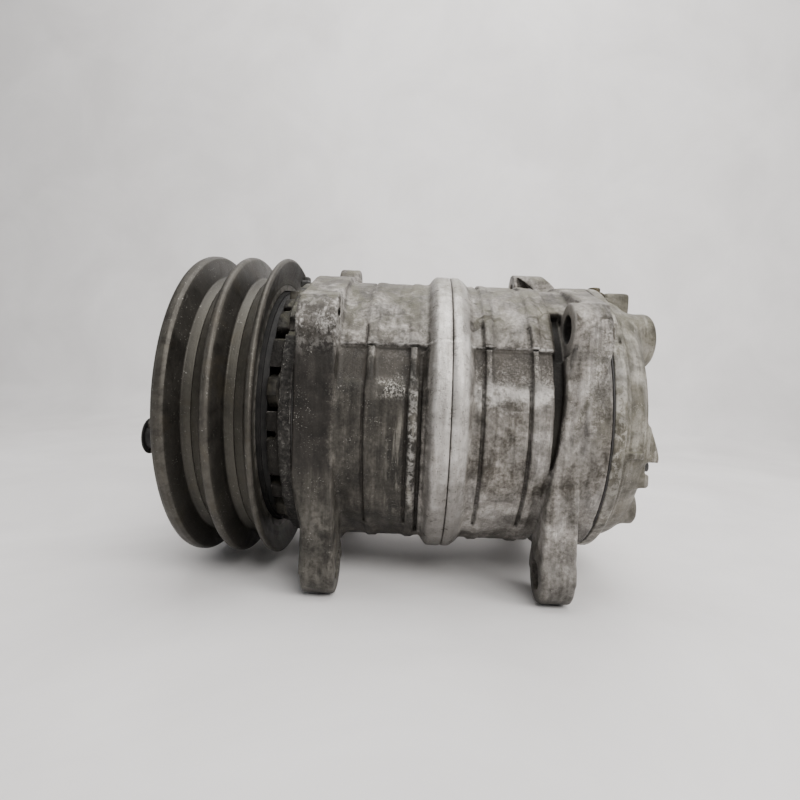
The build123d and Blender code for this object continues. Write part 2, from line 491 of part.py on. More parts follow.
for a in STOP_ANG:
    y, z = at(STOP_R, a)
    d = cyl_x(5.0, PLATE_X0, PLATE_X1 + 0.5, (y, z)) + cyl_x(7.0, PLATE_X0 - 0.7, PLATE_X0, (y, z))
    cap = [(PLATE_X0 - 0.7, 0), (PLATE_X0 - 0.7, 5.9)] + [(PLATE_X0 - 0.7 - 1.6 * math.sin(math.radians(t)), 5.9 * math.cos(math.radians(t))) for t in range(9, 90, 9)] + [(PLATE_X0 - 2.3, 0)]
    domes.append(d + rev(*cap).moved(Location((0, y, z))))
    # leaf spring: from a rivet in the hub plate to a rivet in the armature
    p, q = at(30.5, a + 24), at(39.5, a + 78)
    u = (q[0] - p[0], q[1] - p[1])
    ln = math.hypot(*u)
    u = (u[0] / ln, u[1] / ln)
    w = (-u[1] * 5.2, u[0] * 5.2)
    x0, x1 = PLATE_X1 + 0.05, PLATE_X1 + 0.65
    leaf = poly_yz([(p[0] + w[0], p[1] + w[1]), (q[0] + w[0], q[1] + w[1]), (q[0] - w[0], q[1] - w[1]), (p[0] - w[0], p[1] - w[1])], x0, x1)
    leaf += cyl_x(5.2, x0, x1, p) + cyl_x(5.2, x0, x1, q)
    leaf -= cyl_x(2.05, -118, -110, p) + cyl_x(2.6, -118, -110, q)
    springs.append(leaf)
    rivets_hub.append(cyl_x(2.0, PLATE_X0, x1, p) + cyl_x(3.8, PLATE_X0 - 1.5, PLATE_X0, p) + cyl_x(3.4, x1, x1 + 0.5, p))
    rivets_arm.append(cyl_x(2.0, x0 - 0.65, ARM_X1 - 0.4, q) + cyl_x(3.9, x0 - 2.1, x0 - 0.6, q))
    arm -= cyl_x(2.05, -118, -105, q)
keep("armature_plate", arm)
keep("armature_springs", *springs)
keep("hub_rivets", *rivets_hub)
keep("armature_rivets", *rivets_arm)
keep("rubber_stops", *domes)

# ---------------------------------------------------------------- pistons
REST, rings, shoes = [], [], []
for i, a in enumerate(BORE_ANG):
    c = at(BORE_PCR, a)
    x0 = HALF_STROKE * math.cos(math.radians(a - SWASH_ANG))
    REST.append(x0)
    p = cyl_x(BORE_R - 0.04, -PIS_L, PIS_L, c)
    mid = disc(-PIS_H, PIS_H, PLATE_R + 2.2)
    d = at(1, a)
    p -= mid
    # take the flanks off the bridge so that only its back is left
    p -= cyl_x(BORE_R + 1, -PIS_H, PIS_H, c) - poly_yz([at(70, a - 14), at(70, a + 14), at(30, a + 20), at(30, a - 20)], -40, 40)
    for s in (-1, 1):
        p -= Location((s * PIS_H, c[0], c[1])) * Sphere(7.5)
        gx = sorted((s * 40.0, s * 42.4))
        p -= (cyl_x(BORE_R + 1, gx[0], gx[1], c) - cyl_x(16.4, gx[0], gx[1], c))
    mv = Location((x0, 0, 0))
    keep(f"piston_{i + 1}", p.moved(mv))
    rings += [(cyl_x(BORE_R - 0.03, *sorted((s * 40.1, s * 42.3)), c) - cyl_x(16.45, *sorted((s * 40.0, s * 42.5)), c)).moved(mv) for s in (-1, 1)]
    for s in (-1, 1):
        arc = [(s * (PIS_H + 7.44 * math.sin(math.radians(t))), 7.44 * math.cos(math.radians(t))) for t in range(0, 90, 9)]
        prof = [(s * (PIS_H - 0.3), 0), (s * (PIS_H - 0.3), 7.3)] + arc + [(s * (PIS_H + 7.44), 0)]
        shoes.append(rev(*prof).moved(Location((x0, c[0], c[1]))))
keep("piston_rings", *rings)
keep("piston_shoes", *shoes)

print("rest strokes", [round(v, 4) for v in REST])
print("nodes", len(ALL))
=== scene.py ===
import bpy, bmesh, math, json
import numpy as np
from mathutils import Vector, Matrix


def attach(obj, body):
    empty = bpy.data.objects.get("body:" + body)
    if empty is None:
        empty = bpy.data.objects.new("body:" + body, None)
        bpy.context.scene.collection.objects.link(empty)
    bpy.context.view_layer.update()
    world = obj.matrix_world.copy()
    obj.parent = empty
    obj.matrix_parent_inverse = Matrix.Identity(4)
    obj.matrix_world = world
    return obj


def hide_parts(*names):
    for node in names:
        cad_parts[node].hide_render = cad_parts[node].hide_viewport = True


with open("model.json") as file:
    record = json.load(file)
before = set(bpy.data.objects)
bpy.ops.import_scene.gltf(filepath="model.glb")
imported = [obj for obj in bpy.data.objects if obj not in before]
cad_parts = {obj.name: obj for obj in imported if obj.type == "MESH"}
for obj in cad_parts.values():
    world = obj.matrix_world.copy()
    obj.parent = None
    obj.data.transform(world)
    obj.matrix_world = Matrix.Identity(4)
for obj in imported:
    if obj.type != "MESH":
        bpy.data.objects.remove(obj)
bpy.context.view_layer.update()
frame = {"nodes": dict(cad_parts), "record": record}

N = frame["nodes"]
S0 = 88.0                      # x of the joint between the cylinder halves, mm
MM = 0.001

# Everything below is worked out in millimetres with x = 0 at the joint between the two cylinder
# halves, the shaft on y = z = 0, and angles round the shaft counted from -Y towards +Z.


def at(r, deg):
    a = math.radians(deg)
    return (-r * math.cos(a), r * math.sin(a))


# ------------------------------------------------------------------------------ mesh helpers
def make_obj(name, verts, faces, body, node=None, mat=None, smooth=True, auto=None):
    me = bpy.data.meshes.new(name)
    v = np.asarray(verts, dtype=np.float64).copy()
    v[:, 0] += S0
    v *= MM
    me.from_pydata(v.tolist(), [], [list(map(int, f)) for f in faces]) if not isinstance(faces, np.ndarray) else fast_mesh(me, v, faces)
    me.update()
    ob = bpy.data.objects.new(name, me)
    bpy.context.scene.collection.objects.link(ob)
    bm = bmesh.new(); bm.from_mesh(me)
    bmesh.ops.recalc_face_normals(bm, faces=bm.faces[:])
    bm.to_mesh(me); bm.free()
    if smooth:
        me.polygons.foreach_set("use_smooth", [True] * len(me.polygons))
    if auto is not None:
        me.set_sharp_from_angle(angle=math.radians(auto))
    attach(ob, body)
    if node:
        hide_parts(*(node if isinstance(node, (list, tuple)) else [node]))
    if mat:
        me.materials.append(mat)
    return ob


def fast_mesh(me, v, quads):
    nv, nf = len(v), len(quads)
    me.vertices.add(nv)
    me.vertices.foreach_set("co", v.astype(np.float32).ravel())
    k = quads.shape[1]
    me.loops.add(nf * k)
    me.loops.foreach_set("vertex_index", quads.astype(np.int32).ravel())
    me.polygons.add(nf)
    me.polygons.foreach_set("loop_start", np.arange(0, nf * k, k, dtype=np.int32))
    me.polygons.foreach_set("loop_total", np.full(nf, k, dtype=np.int32))
    me.update(calc_edges=True)
    me.validate()


def round_profile(pts, default=0.25, seg=4):
    """Closed (x, r) polygon with rounded corners. A point is (x, r) or (x, r, fillet)."""
    out = []
    n = len(pts)
    for i in range(n):
        p0, p1, p2 = pts[i - 1], pts[i], pts[(i + 1) % n]
        f = p1[2] if len(p1) > 2 else default
        a = np.array(p0[:2], float) - np.array(p1[:2], float)
        b = np.array(p2[:2], float) - np.array(p1[:2], float)
        la, lb = np.linalg.norm(a), np.linalg.norm(b)
        if f <= 0 or la < 1e-6 or lb < 1e-6:
            out.append(tuple(p1[:2])); continue
        a /= la; b /= lb
        cosang = float(np.clip(a @ b, -1, 1)); ang = math.acos(cosang)
        if ang > math.radians(176) or ang < math.radians(3):
            out.append(tuple(p1[:2])); continue
        t = min(f / math.tan(ang / 2), la * 0.45, lb * 0.45)
        rr = t * math.tan(ang / 2)
        c = np.array(p1[:2], float) + (a + b) / np.linalg.norm(a + b) * (rr / math.sin(ang / 2))
        s = np.array(p1[:2], float) + a * t; e = np.array(p1[:2], float) + b * t
        a0 = math.atan2(s[1] - c[1], s[0] - c[0]); a1 = math.atan2(e[1] - c[1], e[0] - c[0])
        d = (a1 - a0 + math.pi) % (2 * math.pi) - math.pi
        for k in range(seg + 1):
            q = a0 + d * k / seg
            out.append((c[0] + rr * math.cos(q), c[1] + rr * math.sin(q)))
    return out


def lathe(pts, n=180, centre=(0.0, 0.0), wob=None):
    """Vertices and faces of a closed profile turned about X. Points on the axis are merged."""
    V, F, idx = [], [], []
    for (x, r) in pts:
        if r < 1e-6:
            idx.append([len(V)] * n); V.append((x, centre[0], centre[1]))
        else:
            row = []
            for k in range(n):
                a = 2 * math.pi * k / n
                dx, dr = (wob(x, r, a) if wob else (0.0, 0.0))
                row.append(len(V))
                V.append((x + dx, centre[0] - (r + dr) * math.cos(a), centre[1] + (r + dr) * math.sin(a)))
            idx.append(row)
    m = len(pts)
    for i in range(m):
        A, B = idx[i], idx[(i + 1) % m]
        if A[0] == A[1] and B[0] == B[1]:
            continue
        for k in range(n):
            k2 = (k + 1) % n
            f = []
            for q in (A[k], A[k2], B[k2], B[k]):
                if q not in f:
                    f.append(q)
            if len(f) >= 3:
                F.append(f)
    return V, F


def prism_x(pts, x0, x1, ch=0.3):
    """Closed (y, z) outline extruded along X, with a small chamfer round both ends."""
    p = np.array(pts, float)
    area = 0.5 * np.sum(p[:, 0] * np.roll(p[:, 1], -1) - np.roll(p[:, 0], -1) * p[:, 1])
    if area < 0:
        p = p[::-1]
    e = np.roll(p, -1, 0) - p
    e /= np.maximum(np.linalg.norm(e, axis=1)[:, None], 1e-9)
    nrm = np.stack([e[:, 1], -e[:, 0]], 1)
    vn = nrm + np.roll(nrm, 1, 0)
    vn /= np.maximum(np.linalg.norm(vn, axis=1)[:, None], 1e-9)
    cosb = np.maximum((vn * nrm).sum(1), 0.3)
    inner = p - vn * (ch / cosb)[:, None]
    rings = [(x0, inner), (x0 + ch * 0.35, p - (p - inner) * 0.3), (x0 + ch, p), (x1 - ch, p), (x1 - ch * 0.35, p - (p - inner) * 0.3), (x1, inner)]
    V, F = [], []
    n = len(p)
    for x, q in rings:
        for y, z in q:
            V.append((x, y, z))
    for i in range(len(rings) - 1):
        for k in range(n):
            k2 = (k + 1) % n
            F.append([i * n + k, i * n + k2, (i + 1) * n + k2, (i + 1) * n + k])
    F.append(list(range(n))[::-1])
    F.append([(len(rings) - 1) * n + k for k in range(n)])
    return V, F


def join(parts):
    V, F = [], []
    for v, f in parts:
        o = len(V)
        V += list(v)
        F += [[i + o for i in q] for q in f]
    return V, F


# ------------------------------------------------------------------------------ distance-field casting
def vnoise(P, scale, seed=0, octaves=3, gain=0.5):
    """Smooth value noise, about -1..1, at the points P (mm)."""
    out = np.zeros(P.shape[0], np.float32)
    amp, tot = 1.0, 0.0
    for o in range(octaves):
        q = P / (scale / (2.0 ** o)) + (seed * 17.31 + o * 5.17)
        i = np.floor(q).astype(np.int64)
        f = (q - i).astype(np.float32)
        f = f * f * (3 - 2 * f)

        def h(dx, dy, dz):
            n = (i[:, 0] + dx) * 374761393 + (i[:, 1] + dy) * 668265263 + (i[:, 2] + dz) * 2147483647 + seed * 1274126177
            n = (n ^ (n >> 13)) * 1274126177
            n = n ^ (n >> 16)
            return ((n & 0xFFFF).astype(np.float32) / 32767.5) - 1.0
        c00 = h(0, 0, 0) * (1 - f[:, 0]) + h(1, 0, 0) * f[:, 0]
        c10 = h(0, 1, 0) * (1 - f[:, 0]) + h(1, 1, 0) * f[:, 0]
        c01 = h(0, 0, 1) * (1 - f[:, 0]) + h(1, 0, 1) * f[:, 0]
        c11 = h(0, 1, 1) * (1 - f[:, 0]) + h(1, 1, 1) * f[:, 0]
        c0 = c00 * (1 - f[:, 1]) + c10 * f[:, 1]
        c1 = c01 * (1 - f[:, 1]) + c11 * f[:, 1]
        out += amp * (c0 * (1 - f[:, 2]) + c1 * f[:, 2])
        tot += amp
        amp *= gain
    return out / tot


def poly_sdf(U, W, pts):
    """Signed distance to a closed polygon, negative inside, on arrays U, W."""
    p = np.array(pts, np.float32)
    d = np.full(U.shape, 1e9, np.float32)
    s = np.ones(U.shape, np.float32)
    n = len(p)
    for i in range(n):
        a, b = p[i], p[(i + 1) % n]
        e = b - a
        wx, wy = U - a[0], W - a[1]
        t = np.clip((wx * e[0] + wy * e[1]) / max(float(e @ e), 1e-9), 0, 1)
        d = np.minimum(d, (wx - e[0] * t) ** 2 + (wy - e[1] * t) ** 2)
        c1, c2, c3 = W >= a[1], W < b[1], e[0] * wy > e[1] * wx
        s = np.where((c1 & c2 & c3) | (~c1 & ~c2 & ~c3), -s, s)
    return s * np.sqrt(d)


def smin(a, b, k):
    h = np.maximum(k - np.abs(a - b), 0) / k
    return np.minimum(a, b) - h * h * k * 0.25


def smax(a, b, k):
    return -smin(-a, -b, k)


class Field:
    def __init__(self, lo, hi, h):
        self.h = h
        self.x = np.arange(lo[0], hi[0] + h, h, dtype=np.float32)
        self.y = np.arange(lo[1], hi[1] + h, h, dtype=np.float32)
        self.z = np.arange(lo[2], hi[2] + h, h, dtype=np.float32)
        self.Y, self.Z = np.meshgrid(self.y, self.z, indexing="ij")
        self.R = np.sqrt(self.Y ** 2 + self.Z ** 2)
        self.A = np.degrees(np.arctan2(self.Z, -self.Y))
        self.d = np.full((len(self.x), len(self.y), len(self.z)), 1e3, np.float32)

    # 2D fields
    def slab(self, x0, x1):
        c, w = (x0 + x1) / 2, (x1 - x0) / 2
        return (np.abs(self.x - c) - w)[:, None, None]

    def circ(self, r, yz=(0, 0)):
        return (np.sqrt((self.Y - yz[0]) ** 2 + (self.Z - yz[1]) ** 2) - r)[None]

    def pyz(self, pts):
        return poly_sdf(self.Y, self.Z, pts)[None]

    def pxz(self, pts):
        X, Z = np.meshgrid(self.x, self.z, indexing="ij")
        return poly_sdf(X, Z, pts)[:, None, :]

    def pxy(self, pts):
        X, Y = np.meshgrid(self.x, self.y, indexing="ij")
        return poly_sdf(X, Y, pts)[:, :, None]

    def ys(self, y0, y1):
        return (np.abs(self.y - (y0 + y1) / 2) - (y1 - y0) / 2)[None, :, None]

    def zs(self, z0, z1):
        return (np.abs(self.z - (z0 + z1) / 2) - (z1 - z0) / 2)[None, None, :]

    def turned(self, pts):
        """Solid of revolution of an (x, r) polygon."""
        r = np.arange(0, 100, self.h / 2, dtype=np.float32)
        X, R = np.meshgrid(self.x, r, indexing="ij")
        f = poly_sdf(X, R, [(p[0], p[1] if p[1] > 0 else -30.0) for p in pts])
        out = np.empty((len(self.x),) + self.R.shape, np.float32)
        rr = self.R.ravel()
        for i in range(len(self.x)):
            out[i] = np.interp(rr, r, f[i]).reshape(self.R.shape)
        return out

    def sector(self, a0, a1):
        """Angular sector as a distance, on (y, z)."""
        mid, half = (a0 + a1) / 2, (a1 - a0) / 2
        da = np.abs((self.A - mid + 180) % 360 - 180)
        return (np.radians(da - half) * np.maximum(self.R, 1))[None].astype(np.float32)

    def add(self, f, k=1.2):
        self.d = smin(self.d, f, k)

    def cut(self, f, k=0.6):
        self.d = smax(self.d, -f, k)

    def mesh(self):
        """Surface nets: vertices in mm and quads."""
        d = self.d.copy()
        d[0], d[-1] = 5, 5
        d[:, 0], d[:, -1] = 5, 5
        d[:, :, 0], d[:, :, -1] = 5, 5
        ins = d < 0
        nx, ny, nz = d.shape
        cnt = np.zeros((nx - 1, ny - 1, nz - 1), np.int8)
        for a in (0, 1):
            for b in (0, 1):
                for c in (0, 1):
                    cnt += ins[a:nx - 1 + a, b:ny - 1 + b, c:nz - 1 + c]
        act = (cnt > 0) & (cnt < 8)
        I, J, K = np.nonzero(act)
        vid = np.full(act.shape, -1, np.int64)
        vid[I, J, K] = np.arange(len(I))
        acc = np.zeros((len(I), 3), np.float64)
        num = np.zeros(len(I), np.float64)
        C = [(a, b, c) for a in (0, 1) for b in (0, 1) for c in (0, 1)]
        for p in range(8):
            for q in range(p + 1, 8):
                A, B = C[p], C[q]
                if sum(abs(A[t] - B[t]) for t in range(3)) != 1:
                    continue
                da = d[I + A[0], J + A[1], K + A[2]]
                db = d[I + B[0], J + B[1], K + B[2]]
                m = (da < 0) != (db < 0)
                t = np.where(m, da / np.where(m, da - db, 1), 0)
                for ax in range(3):
                    acc[:, ax] += np.where(m, A[ax] + t * (B[ax] - A[ax]), 0)
                num += m
        acc /= num[:, None]
        V = np.stack([self.x[0] + (I + acc[:, 0]) * self.h, self.y[0] + (J + acc[:, 1]) * self.h, self.z[0] + (K + acc[:, 2]) * self.h], 1)
        quads = []
        for ax in range(3):
            sl0 = [slice(1, -1)] * 3; sl1 = [slice(1, -1)] * 3
            sl0[ax] = slice(0, -1); sl1[ax] = slice(1, None)
            a, b = ins[tuple(sl0)], ins[tuple(sl1)]
            E = np.stack(np.nonzero(a != b), 1)
            base = E.copy()
            o1, o2 = [t for t in range(3) if t != ax]
            base[:, o1] += 1; base[:, o2] += 1
            flip = a[E[:, 0], E[:, 1], E[:, 2]]
            if ax == 1:
                flip = ~flip
            c = []
            for s1, s2 in ((0, 0), (-1, 0), (-1, -1), (0, -1)):
                t = base.copy(); t[:, o1] += s1; t[:, o2] += s2
                c.append(vid[t[:, 0], t[:, 1], t[:, 2]])
            q = np.stack(c, 1)
            q[~flip] = q[~flip][:, ::-1]
            quads.append(q)
        Q = np.concatenate(quads)
        Q = Q[(Q >= 0).all(1)]
        return V, Q


def cast_obj(name, fld, body, node, mat, rough=0.10, seed=1, faces=190000, keep=None, ripple=0.18):
    V, Q = fld.mesh()
    # cast skin: push the outer surface in and out along the field's gradient
    g = np.gradient(fld.d, fld.h)
    ijk = np.clip(np.round((V - np.array([fld.x[0], fld.y[0], fld.z[0]])) / fld.h).astype(int), 0, np.array(fld.d.shape) - 1)
    nrm = np.stack([g[a][ijk[:, 0], ijk[:, 1], ijk[:, 2]] for a in range(3)], 1)
    nrm /= np.maximum(np.linalg.norm(nrm, axis=1)[:, None], 1e-6)
    del g
    amt = rough * vnoise(V, 2.6, seed, 2) + ripple * vnoise(V, 14.0, seed + 5, 2)
    # rough grains that catch the light
    amt += rough * 0.8 * np.maximum(vnoise(V, 1.5, seed + 9, 1) - 0.45, 0) * 2
    amt = amt - (rough + ripple) * 0.55
    if keep is not None:
        amt = amt * keep(V)
    V = V + nrm * amt[:, None]
    ob = make_obj(name, V, Q, body, node, mat)
    ntri = len(Q) * 2
    if ntri > faces:
        bpy.context.view_layer.objects.active = ob
        m = ob.modifiers.new("thin", "DECIMATE")
        m.ratio = faces / ntri
        dg = bpy.context.evaluated_depsgraph_get()
        me = bpy.data.meshes.new_from_object(ob.evaluated_get(dg), depsgraph=dg)
        ob.modifiers.remove(m)
        old = ob.data
        ob.data = me
        bpy.data.meshes.remove(old)
        me.name = name
        me.polygons.foreach_set("use_smooth", [True] * len(me.polygons))
    return ob


# ------------------------------------------------------------------------------ node helpers
class Mat:
    def __init__(self, name):
        self.m = bpy.data.materials.new(name)
        self.m.use_nodes = True
        self.t = self.m.node_tree
        self.t.nodes.clear()
        self.out = self.t.nodes.new("ShaderNodeOutputMaterial")
        self.b = self.t.nodes.new("ShaderNodeBsdfPrincipled")
        self.t.links.new(self.b.outputs[0], self.out.inputs[0])
        self.pos = self.t.nodes.new("ShaderNodeTexCoord").outputs["Object"]
        self._sep = None
        self._geo = None
        self.h = None

    def link(self, a, b):
        self.t.links.new(a, b)

    def n(self, kind, **kw):
        nd = self.t.nodes.new(kind)
        for k, v in kw.items():
            setattr(nd, k, v)
        return nd

    def sockin(self, sock, v):
        if hasattr(v, "is_output") or isinstance(v, bpy.types.NodeSocket):
            self.link(v, sock)
        else:
            sock.default_value = v

    def math(self, op, a, b=0.0, c=None, clamp=False):
        nd = self.n("ShaderNodeMath", operation=op, use_clamp=clamp)
        self.sockin(nd.inputs[0], a); self.sockin(nd.inputs[1], b)
        if c is not None:
            self.sockin(nd.inputs[2], c)
        return nd.outputs[0]

    def xyz(self):
        if self._sep is None:
            nd = self.n("ShaderNodeSeparateXYZ"); self.link(self.pos, nd.inputs[0])
            self._sep = nd
        return self._sep.outputs

    def scaled(self, s):
        nd = self.n("ShaderNodeMapping"); self.link(self.pos, nd.inputs[0])
        nd.inputs["Scale"].default_value = s
        return nd.outputs[0]

    def noise(self, scale, detail=4.0, rough=0.55, dist=0.0, vec=None):
        """Noise whose scale is cells per metre."""
        nd = self.n("ShaderNodeTexNoise"); self.link(vec or self.pos, nd.inputs["Vector"])
        nd.inputs["Scale"].default_value = scale
        nd.inputs["Detail"].default_value = detail
        nd.inputs["Roughness"].default_value = rough
        nd.inputs["Distortion"].default_value = dist
        return nd.outputs["Fac"]

    def voro(self, scale, feature="F1", vec=None, rand=1.0, out="Distance"):
        nd = self.n("ShaderNodeTexVoronoi", feature=feature); self.link(vec or self.pos, nd.inputs["Vector"])
        nd.inputs["Scale"].default_value = scale
        nd.inputs["Randomness"].default_value = rand
        return nd.outputs[out]

    def step(self, v, lo, hi):
        """0 below lo, 1 above hi, smooth between."""
        nd = self.n("ShaderNodeMapRange", interpolation_type="SMOOTHSTEP")
        self.sockin(nd.inputs["Value"], v)
        nd.inputs["From Min"].default_value = lo; nd.inputs["From Max"].default_value = hi
        return nd.outputs[0]

    def lin(self, v, lo, hi, a=0.0, b=1.0):
        nd = self.n("ShaderNodeMapRange"); nd.clamp = True
        self.sockin(nd.inputs["Value"], v)
        nd.inputs["From Min"].default_value = lo; nd.inputs["From Max"].default_value = hi
        nd.inputs["To Min"].default_value = a; nd.inputs["To Max"].default_value = b
        return nd.outputs[0]

    def mix(self, f, a, b, mode="MIX"):
        nd = self.n("ShaderNodeMix", data_type="RGBA", blend_type=mode)
        self.sockin(nd.inputs[0], f)
        for s, v in ((nd.inputs[6], a), (nd.inputs[7], b)):
            if isinstance(v, (tuple, list)):
                s.default_value = (*v[:3], 1)
            else:
                self.sockin(s, v)
        return nd.outputs[2]

    def ramp(self, f, stops):
        nd = self.n("ShaderNodeValToRGB"); self.link(f, nd.inputs[0])
        cr = nd.color_ramp
        while len(cr.elements) > 1:
            cr.elements.remove(cr.elements[-1])
        cr.elements[0].position = stops[0][0]; cr.elements[0].color = (*stops[0][1], 1)
        for p, c in stops[1:]:
            e = cr.elements.new(p); e.color = (*c, 1)
        return nd.outputs[0]

    def point(self):
        if self._geo is None:
            self._geo = self.n("ShaderNodeNewGeometry")
        return self._geo.outputs["Pointiness"]

    def normal_z(self):
        if self._geo is None:
            self._geo = self.n("ShaderNodeNewGeometry")
        nd = self.n("ShaderNodeSeparateXYZ"); self.link(self._geo.outputs["Normal"], nd.inputs[0])
        return nd.outputs

    def bump(self, f, dist, strength=1.0):
        nd = self.n("ShaderNodeBump")
        nd.inputs["Strength"].default_value = strength
        nd.inputs["Distance"].default_value = dist
        self.link(f, nd.inputs["Height"])
        if self.h is not None:
            self.link(self.h, nd.inputs["Normal"])
        self.h = nd.outputs[0]
        self.link(self.h, self.b.inputs["Normal"])

    def done(self, color, rough, metal=0.0, **kw):
        self.sockin(self.b.inputs["Base Color"], color if not isinstance(color, tuple) else (*color, 1))
        self.sockin(self.b.inputs["Roughness"], rough)
        self.sockin(self.b.inputs["Metallic"], metal)
        for k, v in kw.items():
            self.b.inputs[k].default_value = v
        return self.m


def X_(x):
    return (x + S0) * MM



def casting_mat(name, kind):
    """Old die-cast aluminium: dull oxidised skin, oily dirt and painted shade in the hollows, bright rubbed edges, salt
    and grit.
    """
    M = Mat(name)
    X, Y, Z = M.xyz()[0], M.xyz()[1], M.xyz()[2]
    rad = M.math("SQRT", M.math("ADD", M.math("MULTIPLY", Y, Y), M.math("MULTIPLY", Z, Z)))
    big = M.noise(42, 5, 0.62, 0.6)
    mid = M.noise(150, 6, 0.66, 0.35)
    fine = M.noise(850, 5, 0.72)
    grit = M.noise(2600, 3, 0.7)
    streak = M.noise(130, 5, 0.62, 0.25, vec=M.scaled((3.4, 1.0, 0.32)))

    nearY = M.math("MULTIPLY", Y, -1.0)

    def mul(*v):
        o = v[0]
        for q in v[1:]:
            o = M.math("MULTIPLY", o, q)
        return o

    def inv(v):
        return M.math("SUBTRACT", 1.0, v)

    def wobble(v, src, amt):
        return M.math("ADD", v, M.math("MULTIPLY", M.math("SUBTRACT", src, 0.5), amt))

    def band(v, lo, hi, soft=0.0015):
        return mul(M.step(v, lo - soft, lo + soft), inv(M.step(v, hi - soft, hi + soft)))
    tone = M.math("ADD", M.math("ADD", M.math("MULTIPLY", mid, 0.24), M.math("MULTIPLY", big, 0.40)), M.math("ADD", M.math("MULTIPLY", fine, 0.22), M.math("MULTIPLY", streak, 0.14)))
    if kind in ("front", "rear"):
        base = M.ramp(tone, [(0.42, (0.060, 0.053, 0.044)), (0.46, (0.125, 0.115, 0.101)), (0.50, (0.215, 0.200, 0.181)), (0.54, (0.310, 0.292, 0.270)), (0.60, (0.47, 0.45, 0.425))])
    elif kind == "rhead":
        base = M.ramp(tone, [(0.41, (0.070, 0.063, 0.048)), (0.46, (0.130, 0.121, 0.097)), (0.51, (0.200, 0.189, 0.161)), (0.56, (0.275, 0.262, 0.232)), (0.62, (0.39, 0.375, 0.345))])
    else:
        base = M.ramp(tone, [(0.38, (0.020, 0.018, 0.016)), (0.48, (0.055, 0.050, 0.044)), (0.56, (0.115, 0.108, 0.098)), (0.66, (0.24, 0.23, 0.215))])
    col = base
    dark = M.ramp(M.math("ADD", M.math("ADD", M.math("MULTIPLY", mid, 0.35), M.math("MULTIPLY", streak, 0.35)), M.math("MULTIPLY", fine, 0.30)),
                  [(0.36, (0.012, 0.0105, 0.0085)), (0.46, (0.027, 0.0245, 0.0205)), (0.55, (0.050, 0.0455, 0.039)), (0.66, (0.115, 0.106, 0.092))])
    xx = wobble(wobble(X, big, 0.012), fine, 0.006)
    zz = wobble(wobble(Z, mid, 0.022), fine, 0.008)
    dirt_film_and_low_shade = None
    if kind == "front":
        # darker front skin below the joint line, left of the band: partly oily dirt, partly painted shade on the lower
        # body; the noise patches are dirt
        low = inv(M.step(zz, 0.023, 0.031))
        left = inv(M.step(xx, X_(-13.0), X_(-9.0)))
        dirt_film_and_low_shade = mul(low, left)
        patches = mul(M.step(mid, 0.50, 0.60), M.step(big, 0.40, 0.55), 0.80, left)
        dirt_film_and_low_shade = M.math("MAXIMUM", dirt_film_and_low_shade, patches)
        col = M.mix(dirt_film_and_low_shade, col, dark)
        # the end frame: almost black between the upper ear and the leg, lighter towards the foot
        plate = mul(inv(M.step(xx, X_(-45.5), X_(-42.5))), band(zz, -0.020, 0.0345, 0.004))
        col = M.mix(mul(plate, 0.78), col, (0.0165, 0.0145, 0.013))
        smudge = mul(inv(M.step(xx, X_(-46.0), X_(-43.5))), band(zz, 0.0385, 0.0455, 0.003), M.step(nearY, 0.030, 0.040))
        col = M.mix(mul(smudge, 0.80), col, (0.040, 0.037, 0.033))
        scrape = mul(M.math("MAXIMUM", band(X, X_(-43.9), X_(-42.6), 0.0005), mul(band(zz, 0.0335, 0.0385, 0.002), inv(M.step(X, X_(-44.5), X_(-43)))) ), band(Z, 0.028, 0.050, 0.003), M.step(nearY, 0.030, 0.040), M.step(M.noise(520, 5, 0.75, 0.6), 0.44, 0.56))
        col = M.mix(mul(scrape, 0.85), col, (0.60, 0.58, 0.55))
        foot = mul(inv(M.step(xx, X_(-42), X_(-39))), inv(M.step(zz, -0.040, -0.022)), M.step(M.noise(210, 5, 0.7, 0.3), 0.42, 0.60))
        col = M.mix(mul(foot, 0.35), col, (0.165, 0.155, 0.135))
        # rubbed streaks and lime spatter near the joint band
        rub = mul(band(X, X_(-23), X_(-12), 0.003), band(Z, -0.036, 0.000, 0.006), M.step(streak, 0.50, 0.62))
        col = M.mix(mul(rub, 0.55), col, (0.205, 0.193, 0.165))
        spat = mul(band(X, X_(-27), X_(-11), 0.003), band(Z, 0.0098, 0.0172, 0.0025), M.step(M.noise(1350, 4, 0.8), 0.48, 0.57), M.step(M.noise(130, 3, 0.6), 0.40, 0.56))
        col = M.mix(mul(spat, 0.85), col, (0.56, 0.54, 0.49))
        # painted shade: a dark crescent in the groove left of the joint band, where shade falls
        cres = mul(band(X, X_(-11.6), X_(-8.9), 0.0007), band(zz, 0.003, 0.0255, 0.003), M.step(M.noise(500, 4, 0.7, 0.4), 0.30, 0.46))
        col = M.mix(mul(cres, 0.90), col, (0.030, 0.027, 0.023))
        lip = mul(band(wobble(X, fine, 0.003), X_(-15.4), X_(-12.2), 0.0008), inv(M.step(zz, 0.012, 0.019)), M.step(zz, -0.045, -0.020), M.step(M.noise(330, 5, 0.75, 0.5), 0.45, 0.58))
        col = M.mix(mul(lip, 0.55), col, (0.46, 0.445, 0.415))
